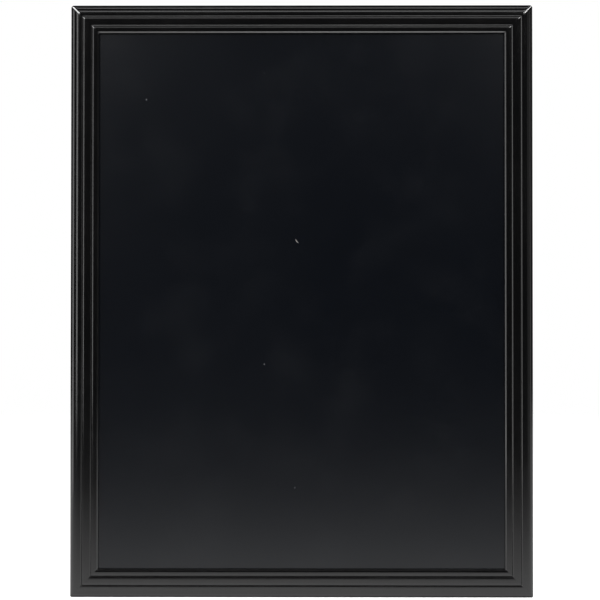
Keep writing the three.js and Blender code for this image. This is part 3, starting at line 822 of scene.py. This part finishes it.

# %% [markdown]
# ## Fixings that repeat
#
# V-nails across the mitres and flat points over the panel are the same two stampings many times
# over. Geometry Nodes copy one template to every place. The places are plain points that carry
# the turn of each copy, and a fixed seed leans each panel point a little, as a driven fixing leans.

# %% The tree that copies a template to its places
def copies_tree():
    tree, given, out = new_tree(
        "driven_fixings", "GeometryNodeTree",
        {"Places": (GEOMETRY, None), "Template": (OBJECT, None), "Lean": (FLOAT, 0.02),
         "Seed": (INTEGER, 5), "Finish": (MATERIAL, None)},
        {"Geometry": GEOMETRY})
    template = add(tree, "GeometryNodeObjectInfo", {"Object": given["Template"]})
    lean = seeded(tree, times(tree, given["Lean"], -1.0), given["Lean"], given["Seed"])
    turn = plus(tree, attribute(tree, "turn"), lean)
    copy_to_places(tree, template.outputs["Geometry"], {"Y": turn}, given, out)
    return tree


def seeded(tree, low, high, seed):
    """A random number for each copy, the same in every run."""
    node = add(tree, "FunctionNodeRandomValue", {2: low, 3: high, "Seed": seed}, data_type="FLOAT")
    return node.outputs[1]


def copy_to_places(tree, template, turn, given, out):
    """The template at every place, turned by the angles given, made real and finished."""
    euler = add(tree, "ShaderNodeCombineXYZ", turn)
    rotation = add(tree, "FunctionNodeEulerToRotation", {0: euler.outputs[0]})
    copies = add(tree, "GeometryNodeInstanceOnPoints",
                 {"Points": given["Places"], "Instance": template, "Rotation": rotation.outputs[0]})
    real = add(tree, "GeometryNodeRealizeInstances", {"Geometry": copies.outputs[0]})
    finish_tree(tree, real.outputs[0], given["Finish"], out["Geometry"], sharp_angle=0.6)


DRIVEN_FIXINGS = copies_tree()


def places_object(name, places):
    """Points with the turn of each copy about Y."""
    made = mesh_object(name, [p for p, _ in places])
    turns = made.data.attributes.new("turn", "FLOAT", "POINT")
    turns.data.foreach_set("value", [t for _, t in places])
    return made


def bevelled_plate(name, outline, thickness, bevel):
    """A stamped plate: an outline in X and Z, its thickness along Y from 0, its edges broken."""
    model = bmesh.new()
    base = [model.verts.new((x, 0, z)) for x, z in outline]
    face = model.faces.new(base)
    moved = bmesh.ops.extrude_face_region(model, geom=[face])["geom"]
    for item in moved:
        if isinstance(item, bmesh.types.BMVert):
            item.co.y += thickness
    bmesh.ops.recalc_face_normals(model, faces=model.faces)
    bmesh.ops.bevel(model, geom=model.edges[:], offset=bevel, segments=2, affect="EDGES", profile=0.5)
    return drawn_object(name, model)


def copied(template, places, name, nodes, finish, lean, seed):
    """One plain mesh of all the copies, riding on the board in the place of its nodes."""
    spots = places_object(name + "_places", places)
    piece = grown(spots, DRIVEN_FIXINGS, name, Template=template, Lean=lean, Seed=seed, Finish=finish)
    bpy.data.objects.remove(template)
    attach(piece, "board")
    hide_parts(*nodes)
    report(piece)


print("tree", DRIVEN_FIXINGS.name)

# %% Panel points: flat steel, half of each driven into the rabbet's wall
POINT_LENGTH, POINT_WIDTH, POINT_TIP_LENGTH, POINT_TIP_WIDTH = 15 * MM, 6 * MM, 3.5 * MM, 0.8 * MM
POINT_EDGE = 0.12 * MM
TOWARDS = {"bottom_rail": (0, 1), "top_rail": (0, -1), "left_stile": (1, 0), "right_stile": (-1, 0)}
point_nodes = sorted(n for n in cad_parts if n.startswith("panel_point_"))


def point_place(node):
    """The free end's middle on its front face, and the turn that points the tip outward."""
    low, high, middle = measured(node)
    x, z = TOWARDS[next(side for side in TOWARDS if side in node)]
    reach = (high - low) / 2
    end = Vector((middle.x + x * reach.x, low.y, middle.z + z * reach.z))
    return end, math.atan2(x, z)


def panel_points():
    w, tip = POINT_WIDTH / 2, POINT_TIP_WIDTH / 2
    shoulder = -(POINT_LENGTH - POINT_TIP_LENGTH)
    outline = [(-w, 0), (-w, shoulder), (-tip, -POINT_LENGTH),
               (tip, -POINT_LENGTH), (w, shoulder), (w, 0)]
    low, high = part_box(point_nodes[0])
    template = bevelled_plate("point_template", outline, high.y - low.y, POINT_EDGE)
    places = [point_place(node) for node in point_nodes]
    copied(template, places, "panel_points", point_nodes, POINT_STEEL,
           lean=0.03, seed=7)


panel_points()

# %% V-nails: a bent strip on edge across each mitre, just below the back
VNAIL_THICKNESS, VNAIL_EDGE = 0.7 * MM, 0.1 * MM
vnail_nodes = sorted(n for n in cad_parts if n.startswith("v_nail_"))
VNAIL_TURN = {"top_left": 90, "top_right": 180, "bottom_right": 270, "bottom_left": 0}


def vnail_place(node):
    """The apex on the front end of the nail, and the turn that opens its legs inward."""
    low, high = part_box(node)
    key = next(k for k in VNAIL_TURN if k in node)
    x = low.x if "left" in key else high.x
    z = high.z if "top" in key else low.z
    return Vector((x, low.y, z)), math.radians(VNAIL_TURN[key])


def v_nails():
    low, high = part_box(vnail_nodes[0])
    leg, thick = high.x - low.x, VNAIL_THICKNESS
    outline = [(0, 0), (leg, 0), (leg, thick), (thick, thick), (thick, leg), (0, leg)]
    template = bevelled_plate("nail_template", outline, high.y - low.y, VNAIL_EDGE)
    places = [vnail_place(node) for node in vnail_nodes]
    copied(template, places, "v_nails", vnail_nodes, POINT_STEEL, lean=0.0, seed=3)


v_nails()

# %% [markdown]
# ## Turned pieces: screws and rubber pads
#
# A screw and a pad are both turned about an axis. Their outline is a list of heights and radii,
# and a tree scales a circle along the axis by it. The screw then has a cross recess cut and a
# thread wound on, and each copy's recess is turned by a seeded angle, because no two screws end
# up in line.

# %% The tree that turns, cuts and places a round piece
THREAD_RIDGE = 0.35 * MM    # radius of the three-sided ridge
THREAD_START = 0.5 * MM     # below the head
THREAD_STEPS = 16           # for each turn


def turned_tree():
    tree, given, out = new_tree(
        "turned_pieces", "GeometryNodeTree",
        {"Places": (GEOMETRY, None), "Outline": (OBJECT, None), "Sides": (INTEGER, 40),
         "Recess Arm": (FLOAT, 0.0), "Recess Width": (FLOAT, 0.0008),
         "Recess Depth": (FLOAT, 0.001), "Head Top": (FLOAT, 0.002), "Thread Radius": (FLOAT, 0.0),
         "Thread Length": (FLOAT, 0.008), "Thread Turns": (FLOAT, 7.0), "Seed": (INTEGER, 11),
         "Finish": (MATERIAL, None)},
        {"Geometry": GEOMETRY})
    outline = add(tree, "GeometryNodeObjectInfo", {"Object": given["Outline"]})
    axis = add(tree, "GeometryNodeMeshToCurve", {"Mesh": outline.outputs["Geometry"]})
    circle = add(tree, "GeometryNodeCurvePrimitiveCircle",
                 {"Resolution": given["Sides"], "Radius": 1.0})
    turned = add(tree, "GeometryNodeCurveToMesh",
                 {"Curve": axis.outputs[0], "Profile Curve": circle.outputs[0],
                  "Scale": attribute(tree, "radius"), "Fill Caps": True})

    recess_place = add(tree, "ShaderNodeCombineXYZ", {"Z": given["Head Top"]})
    arm = times(tree, given["Recess Arm"], 2.0)
    deep = times(tree, given["Recess Depth"], 2.0)
    cut = add(tree, "GeometryNodeMeshBoolean", {"Mesh 1": turned.outputs[0]},
              operation="DIFFERENCE", solver="EXACT")
    for x, y in ((arm, given["Recess Width"]), (given["Recess Width"], arm)):
        size = add(tree, "ShaderNodeCombineXYZ", {"X": x, "Y": y, "Z": deep})
        bar = add(tree, "GeometryNodeMeshCube", {"Size": size.outputs[0]})
        bar = add(tree, "GeometryNodeTransform",
                  {"Geometry": bar.outputs[0], "Translation": recess_place.outputs[0]})
        tree.links.new(bar.outputs[0], cut.inputs["Mesh 2"])
    has_recess = calc(tree, "GREATER_THAN", given["Recess Arm"], 0.0)
    shaped = add(tree, "GeometryNodeSwitch",
                 {"Switch": has_recess, "False": turned.outputs[0], "True": cut.outputs[0]},
                 input_type="GEOMETRY")

    spiral = add(tree, "GeometryNodeCurveSpiral",
                 {"Resolution": THREAD_STEPS, "Rotations": given["Thread Turns"],
                  "Start Radius": given["Thread Radius"], "End Radius": given["Thread Radius"],
                  "Height": given["Thread Length"]})
    ridge = add(tree, "GeometryNodeCurvePrimitiveCircle", {"Resolution": 3, "Radius": THREAD_RIDGE})
    thread = add(tree, "GeometryNodeCurveToMesh",
                 {"Curve": spiral.outputs[0], "Profile Curve": ridge.outputs[0], "Fill Caps": True})
    drop = add(tree, "ShaderNodeCombineXYZ",
               {"Z": minus(tree, -THREAD_START, given["Thread Length"])})
    thread = add(tree, "GeometryNodeTransform",
                 {"Geometry": thread.outputs[0], "Translation": drop.outputs[0]})
    has_thread = calc(tree, "GREATER_THAN", given["Thread Radius"], 0.0)
    wound = add(tree, "GeometryNodeSwitch", {"Switch": has_thread, "True": thread.outputs[0]},
                input_type="GEOMETRY")

    joined = tree.nodes.new("GeometryNodeJoinGeometry")
    tree.links.new(shaped.outputs[0], joined.inputs[0])
    tree.links.new(wound.outputs[0], joined.inputs[0])
    spin = seeded(tree, 0.0, math.pi, given["Seed"])
    copy_to_places(tree, joined.outputs[0], {"X": -math.pi / 2, "Y": spin}, given, out)
    return tree


TURNED_PIECES = turned_tree()


def outline_object(name, rings):
    """An axis along Z that carries a radius at each height."""
    edges = [(i, i + 1) for i in range(len(rings) - 1)]
    made = mesh_object(name, [(0, 0, z) for z, _ in rings], edges)
    radius = made.data.attributes.new("radius", "FLOAT", "POINT")
    radius.data.foreach_set("value", [r for _, r in rings])
    return made


def turned(name, outline, places, nodes, finish, slot, **values):
    """Round pieces at their places on the back, each with its axis along Y."""
    spots = mesh_object(name + "_places", places)
    piece = grown(spots, TURNED_PIECES, name, Outline=outline, Finish=finish, **values)
    bpy.data.objects.remove(outline)
    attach(piece, "board")
    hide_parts(*nodes)
    report(piece)


print("tree", TURNED_PIECES.name)

# %% Hanger screws
SCREW_HEAD_RADIUS, SCREW_HEAD_HEIGHT = 3.4 * MM, 2.0 * MM
SCREW_SHANK, SCREW_TIP = 1.25 * MM, 4 * MM
SCREW_POINT, SCREW_STEP, SCREW_RIM, SCREW_SIDE = 0.3 * MM, 0.02 * MM, 0.15 * MM, 0.9 * MM
SCREW_DOME = 1.5 * MM
DOME_ANGLES = [math.radians(angle) for angle in range(10, 81, 10)]
screw_nodes = sorted(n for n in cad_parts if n.startswith("hanger_screw_"))


def hanger_screws():
    low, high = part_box(screw_nodes[0])
    under = (high.y - low.y) - SCREW_HEAD_HEIGHT
    rings = [(-under, SCREW_POINT), (-under + SCREW_TIP, SCREW_SHANK), (-SCREW_STEP, SCREW_SHANK),
             (0.0, SCREW_HEAD_RADIUS - SCREW_RIM), (SCREW_RIM, SCREW_HEAD_RADIUS),
             (SCREW_SIDE, SCREW_HEAD_RADIUS)]
    rise = (SCREW_HEAD_HEIGHT - SCREW_SIDE) / math.sin(DOME_ANGLES[-1])
    for t in DOME_ANGLES:
        rings.append((SCREW_SIDE + rise * math.sin(t),
                      SCREW_HEAD_RADIUS - SCREW_DOME * (1 - math.cos(t))))
    outline = outline_object("screw_outline", rings)
    places = []
    for node in screw_nodes:
        low, high, middle = measured(node)
        places.append((middle.x, high.y - SCREW_HEAD_HEIGHT, middle.z))
    turned("hanger_screws", outline, places, screw_nodes, SCREW_STEEL, "fastener_steel", Sides=40,
           Recess_Arm=2.1 * MM, Recess_Width=0.8 * MM, Recess_Depth=1.1 * MM,
           Head_Top=SCREW_HEAD_HEIGHT, Thread_Radius=1.3 * MM, Thread_Length=8.2 * MM,
           Thread_Turns=6.0, Seed=11)


hanger_screws()

# %% Bumper pads
PAD_RADIUS, PAD_DRAFT, PAD_ROUNDING = 6.0 * MM, 0.6 * MM, 1.2 * MM
PAD_FOOT = ((0.0, 0.25 * MM), (0.2 * MM, 0.0), (0.9 * MM, 0.06 * MM))     # height, and how far in
PAD_STEPS = 8
PAD_DOME = 0.08 * MM
PAD_DOME_RINGS = ((0.45, 3.1 * MM), (0.85, 1.6 * MM), (1.0, 0.4 * MM))    # share of it, and radius
pad_nodes = sorted(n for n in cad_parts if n.startswith("bumper_"))


def bumper_pads():
    low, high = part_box(pad_nodes[0])
    height = high.y - low.y
    shoulder = PAD_RADIUS - PAD_DRAFT
    crest = height - PAD_DOME
    rings = [(z, PAD_RADIUS - inset) for z, inset in PAD_FOOT]
    rings.append((crest - PAD_ROUNDING, shoulder))
    for i in range(1, PAD_STEPS + 1):
        t = math.radians(i * 90 / PAD_STEPS)
        rings.append((crest - PAD_ROUNDING * (1 - math.sin(t)),
                      shoulder - PAD_ROUNDING * (1 - math.cos(t))))
    rings += [(crest + share * PAD_DOME, radius) for share, radius in PAD_DOME_RINGS]
    outline = outline_object("pad_outline", rings)
    places = []
    for node in pad_nodes:
        low, high, middle = measured(node)
        places.append((middle.x, low.y, middle.z))
    turned("bumper_pads", outline, places, pad_nodes, PAD_RUBBER, "pad_rubber", Sides=64, Seed=2)


bumper_pads()

# %% [markdown]
# ## The hangers
#
# A D-ring hanger is a strip of zinc-plated steel folded round a bent wire and screwed flat to the
# stile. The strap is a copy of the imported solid, because its fold already runs round the wire
# with the right play, and only its stamped edges need breaking. The ring is a wire that follows
# a D-shaped path, so a tree sweeps a circle along that path. Each ring rides on its own body.

# %% Straps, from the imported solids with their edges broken
STRAP_EDGE = 0.14 * MM
STRAP_CREASE = math.radians(40)


def hanger_strap(side):
    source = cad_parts["hanger_strap_" + side]
    model = bmesh.new()
    model.from_mesh(source.data)
    bmesh.ops.remove_doubles(model, verts=model.verts, dist=1e-6)
    bmesh.ops.dissolve_limit(model, angle_limit=math.radians(1), verts=model.verts, edges=model.edges)
    blank = drawn_object("strap_copy", model)
    bevel = blank.modifiers.new("broken_edges", "BEVEL")
    bevel.width = STRAP_EDGE
    bevel.segments = 2
    bevel.limit_method = "ANGLE"
    bevel.angle_limit = STRAP_CREASE
    piece = plain(blank, "hanger_strap_" + side + "_zinc")
    piece.data.materials.clear()
    piece.data.materials.append(STRAP_ZINC)
    piece.data.shade_smooth()
    piece.data.set_sharp_from_angle(angle=STRAP_CREASE)
    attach(piece, "board")
    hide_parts("hanger_strap_" + side)
    report(piece)


for side in ("left", "right"):
    hanger_strap(side)

# %% The tree that draws a wire along a path
def wire_tree():
    tree, given, out = new_tree(
        "bent_wire", "GeometryNodeTree",
        {"Path": (GEOMETRY, None), "Wire Diameter": (FLOAT, 0.0022), "Sides": (INTEGER, 28),
         "Finish": (MATERIAL, None)},
        {"Geometry": GEOMETRY})
    path = add(tree, "GeometryNodeMeshToCurve", {"Mesh": given["Path"]})
    radius = times(tree, given["Wire Diameter"], 0.5)
    circle = add(tree, "GeometryNodeCurvePrimitiveCircle",
                 {"Resolution": given["Sides"], "Radius": radius})
    wire = add(tree, "GeometryNodeCurveToMesh",
               {"Curve": path.outputs[0], "Profile Curve": circle.outputs[0]})
    finish_tree(tree, wire.outputs[0], given["Finish"], out["Geometry"], sharp_angle=1.0)
    return tree


BENT_WIRE = wire_tree()
print("tree", BENT_WIRE.name)

# %% Rings
RING_ROD, RING_INNER, RING_STRAIGHT, RING_BEND = 2.2 * MM, 15 * MM, 3.4 * MM, 2.6 * MM
RING_SIDES, BEND_STEPS, BOW_STEPS = 28, 10, 48


def ring_path():
    """A D about the middle of its bar: straight bar, two tight bends, short sides, half a circle."""
    half = (RING_INNER + RING_ROD) / 2
    path = arc(half - RING_BEND, RING_BEND, RING_BEND, RING_BEND, -90, 0, BEND_STEPS)
    path += arc(0, RING_STRAIGHT, half, half, 0, 180, BOW_STEPS)
    path += arc(RING_BEND - half, RING_BEND, RING_BEND, RING_BEND, 180, 270, BEND_STEPS)
    return path


def hanger_ring(side):
    node = "hanger_ring_" + side
    low, high, middle = measured(node)
    path = ring_path()
    shift = Vector((middle.x, middle.y, low.z + RING_ROD / 2))
    tall = max(z for _, z in path) + RING_ROD
    print(node, "drawn", round(tall / MM, 2), "mm tall, packed", round((high.z - low.z) / MM, 2))
    blank = mesh_object(node + "_path", [shift + Vector((x, 0, z)) for x, z in path],
                        closed_loop(len(path)))
    piece = grown(blank, BENT_WIRE, node + "_bright", Wire_Diameter=RING_ROD, Sides=RING_SIDES,
                  Finish=RING_STEEL)
    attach(piece, "ring_" + side)
    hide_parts(node)
    report(piece)


for side in ("left", "right"):
    hanger_ring(side)

# %% [markdown]
# ## Floor, world and lamps
#
# Black lacquer shows almost nothing of itself: what is seen is what it mirrors. A photographer
# keeps the side of the studio behind the camera dark, so that flat faces stay black, and sets
# narrow softboxes where each rounded line of the moulding can catch one. The pale table mirrors
# up into the bottom rail and fades up the panel. The world is white behind the board, and a pale
# room for everything lit softly, at about the level at which a colour renders as it is written.

# %% The floor, a pale table top, with its light fall-off and contact shadow painted on
TABLE_FRONT, TABLE_BACK, TABLE_HALF_WIDTH = -6.0, 9.0, 9.0
TABLE_TOP = BOARD_BOTTOM - 0.2 * MM    # a hair below the board, so that nothing is clipped
TABLE_PAPERS = ((0.79, 0.79, 0.79), (0.81, 0.81, 0.81))
TABLE_UNLIT = (0.01, 0.01, 0.01)
TABLE_GLOW = 0.66                      # brings the lit table up to white, also in reflections
UNLIT_GLOW = 0.6                       # and this much more brings up its far front
TABLE_FADE = 1.32                      # metres in front of the board in which its light falls off
# a painted contact shadow: the table's colour and its glow go dark in this strip at the board's foot
CONTACT_SHADOW = (BACK_PLANE - 12.0 * MM, BACK_PLANE - 17.0 * MM)
SHADOW_END = 2.0 * MM                  # how far in from the board's sides the shadow stops


def ray_masks(tree):
    """Masks of what is seen directly or through glass, and of what is mirrored."""
    ray = tree.nodes.new("ShaderNodeLightPath").outputs
    return larger(tree, ray["Is Camera Ray"], ray["Is Transmission Ray"]), ray["Is Glossy Ray"]


def table_top():
    corners = ((-TABLE_HALF_WIDTH, TABLE_FRONT), (TABLE_HALF_WIDTH, TABLE_FRONT),
               (TABLE_HALF_WIDTH, TABLE_BACK), (-TABLE_HALF_WIDTH, TABLE_BACK))
    floor = mesh_object("table_top", [(x, y, TABLE_TOP) for x, y in corners], (), [(0, 1, 2, 3)])
    material, tree, shader = new_finish("table_paper", Roughness=0.9, Specular_IOR_Level=0.1)
    place = object_place(tree)
    flat = add(tree, "ShaderNodeSeparateXYZ", {"Vector": place})
    in_front = calc(tree, "MINIMUM", flat.outputs["Y"], 0.0)
    clear = between(tree, flat.outputs["Y"], *CONTACT_SHADOW)
    behind = calc(tree, "GREATER_THAN", flat.outputs["Y"], BACK_PLANE)
    from_middle = calc(tree, "ABSOLUTE", flat.outputs["X"])
    beside = between(tree, from_middle, BOARD_WIDTH / 2 - SHADOW_END, BOARD_WIDTH / 2)
    clear = larger(tree, clear, larger(tree, behind, beside))
    lit = calc(tree, "EXPONENT", calc(tree, "DIVIDE", in_front, TABLE_FADE))
    lit = times(tree, lit, clear)
    paper = tint(tree, noise(tree, place, scale=3.0), *TABLE_PAPERS)
    # painted light and shade: the table's colour is pale near and behind the board, and near black
    # further in front and in the painted contact shadow
    feed(tree, tint(tree, lit, TABLE_UNLIT, paper), shader.inputs["Base Color"])
    seen, glossy = ray_masks(tree)
    glow = plus(tree, TABLE_GLOW, times(tree, minus(tree, 1.0, lit), UNLIT_GLOW))
    # the table's glow to the camera is cut in the painted contact shadow
    to_camera = times(tree, times(tree, seen, glow), clear)
    # painted light: the table glows in reflections only where its colour is pale, as if lit there
    to_gloss = times(tree, times(tree, glossy, lit), TABLE_GLOW)
    shader.inputs["Emission Color"].default_value = (1, 1, 1, 1)
    feed(tree, plus(tree, to_camera, to_gloss), shader.inputs["Emission Strength"])
    floor.data.materials.append(material)


table_top()
print("floor at", round(TABLE_TOP, 5))

# %% The world: white to the camera, white behind the board in reflections, soft light elsewhere
ROOM_LIGHT = 0.42
DARK_SIDE = 0.014    # what gloss mirrors of the studio behind the camera
WHITE_FROM = 0.75    # how far back a direction points where the white begins


def room_light():
    world = bpy.data.worlds.new("studio")
    scene.world = world
    world.use_nodes = True
    tree = world.node_tree
    background = next(n for n in tree.nodes if n.type == "BACKGROUND")
    outward = tree.nodes.new("ShaderNodeTexCoord").outputs["Generated"]
    direction = add(tree, "ShaderNodeSeparateXYZ", {0: outward})
    behind = between(tree, direction.outputs["Y"], WHITE_FROM, 1.0, DARK_SIDE, 1.0)
    seen, glossy = ray_masks(tree)
    soft = minus(tree, 1.0, larger(tree, seen, glossy), clamp=True)
    shown = plus(tree, seen, times(tree, glossy, behind))
    strength = plus(tree, shown, times(tree, soft, ROOM_LIGHT))
    feed(tree, strength, background.inputs["Strength"])
    background.inputs["Color"].default_value = (1, 1, 1, 1)


room_light()
print("room light", ROOM_LIGHT)

# %% Softboxes, each named for the line that it draws
AIM_DEPTH = -0.02    # Y, just inside the front of the moulding
SIDE_INSET, TOP_INSET = 16.5 * MM, 10 * MM
LEFT_STILE = Vector((BOARD_LEFT + SIDE_INSET, AIM_DEPTH, MIDDLE_HEIGHT))
RIGHT_STILE = Vector((BOARD_RIGHT - SIDE_INSET, AIM_DEPTH, MIDDLE_HEIGHT))
TOP_RAIL = Vector((0, AIM_DEPTH, BOARD_TOP - TOP_INSET))
UPPER_LEFT = LEFT_STILE + Vector((0, 0, 0.5))
SOFTBOXES = (    # name, target, turn, rise, distance, width and height, brightness, spread
    ("left_side_box", LEFT_STILE, -72.5, 0, 2.6, (1.13, 2.4), 2.4),
    ("left_front_box", UPPER_LEFT, -25, 0, 3.0, (0.72, 1.5), 3.1),
    ("right_side_box", RIGHT_STILE, 72, 0, 2.6, (0.30, 2.4), 1.6),
    ("right_front_box", RIGHT_STILE, 48, 0, 3.0, (1.6, 2.6), 0.26),
    ("top_box", TOP_RAIL, 0, 68, 6.0, (6.0, 1.1), 2.8),
    ("top_front_box", TOP_RAIL, 0, 28, 2.8, (2.2, 0.58), 2.2),
    ("table_box", TOP_RAIL, 0, -84.5, 0.885, (1.0, 0.14), 0.10, 24),
)


def area_lamp(name, place, size, brightness, spread=180):
    """A rectangular lamp that the camera doesn't see; brightness is the radiance of its face."""
    data = bpy.data.lights.new(name, "AREA")
    data.shape = "RECTANGLE"
    data.size, data.size_y = size
    data.spread = math.radians(spread)
    data.energy = brightness * math.pi * size[0] * size[1]
    lamp = placed(name, data)
    lamp.matrix_world = place
    lamp.visible_camera = False
    print(name, "at", [round(c, 2) for c in place.translation])


def softbox(name, target, turn, rise, distance, *look):
    """A lamp aimed at a target: turn to the right of the camera side, rise above it, in degrees."""
    turn, rise = math.radians(turn), math.radians(rise)
    out = Vector((math.sin(turn) * math.cos(rise), -math.cos(turn) * math.cos(rise), math.sin(rise)))
    aim = out.to_track_quat("Z", "Y").to_matrix().to_4x4()
    area_lamp(name, Matrix.Translation(target + out * distance) @ aim, *look)


for given in SOFTBOXES:
    softbox(*given)

# %% Strip lamps on the upper diagonals, four for each of the two glints along the mitres
CORNER_INSET = 8 * MM
TOP_LEFT = Vector((BOARD_LEFT + CORNER_INSET, AIM_DEPTH, BOARD_TOP - CORNER_INSET))
TOP_RIGHT = Vector((BOARD_RIGHT - CORNER_INSET, AIM_DEPTH, BOARD_TOP - CORNER_INSET))
STRIP_SIZE = (0.11, 0.90)
STRIP_DISTANCE = 2.6
STRIP_OFFSET = 0.093                    # square to the diagonal
STRIP_ANGLES = (27, 47, 67, 87)         # off the camera axis
LEFT_STRIPS, RIGHT_STRIPS = 36.0, 38.0


def mitre_lamp(name, corner, side, angle, brightness):
    """A lamp on the diagonal through a corner, at an angle off the camera axis."""
    angle = math.radians(angle)
    sideways = Vector((side, 0, 1)).normalized()
    out = sideways * math.sin(angle) - Vector((0, math.cos(angle), 0))
    along = sideways * math.cos(angle) + Vector((0, math.sin(angle), 0))
    beside = Vector((-side, 0, 1)).normalized() * STRIP_OFFSET
    aim = Matrix((along.cross(out), along, out)).transposed().to_4x4()
    area_lamp(name, Matrix.Translation(corner + out * STRIP_DISTANCE + beside) @ aim,
              STRIP_SIZE, brightness)


for number, angle in enumerate(STRIP_ANGLES, 1):
    mitre_lamp(f"mitre_lamp_left_{number}", TOP_LEFT, -1, angle, LEFT_STRIPS)
    mitre_lamp(f"mitre_lamp_right_{number}", TOP_RIGHT, 1, angle, RIGHT_STRIPS)

# %% [markdown]
# ## The camera
#
# The photograph looks square at the board from a few metres away through a long lens, so that
# hardly anything converges. The place, aim and lens were fitted to the board's four outer corners.

# %% Camera and colour
LENS, SENSOR_WIDTH = 133.60, 36                   # mm
CAMERA_PLACE = (0.02415, -3.4, -0.44002)
CAMERA_TURN = (1.591370, -0.000330, 0.007826)     # radians

camera_data = bpy.data.cameras.new("camera")
camera_data.lens = LENS
camera_data.sensor_width = SENSOR_WIDTH
camera = placed("camera", camera_data)
camera.location = CAMERA_PLACE
camera.rotation_euler = CAMERA_TURN
scene.camera = camera
scene.view_settings.view_transform = "Standard"
print("lens", camera_data.lens, "mm at", [round(c, 3) for c in camera.location])
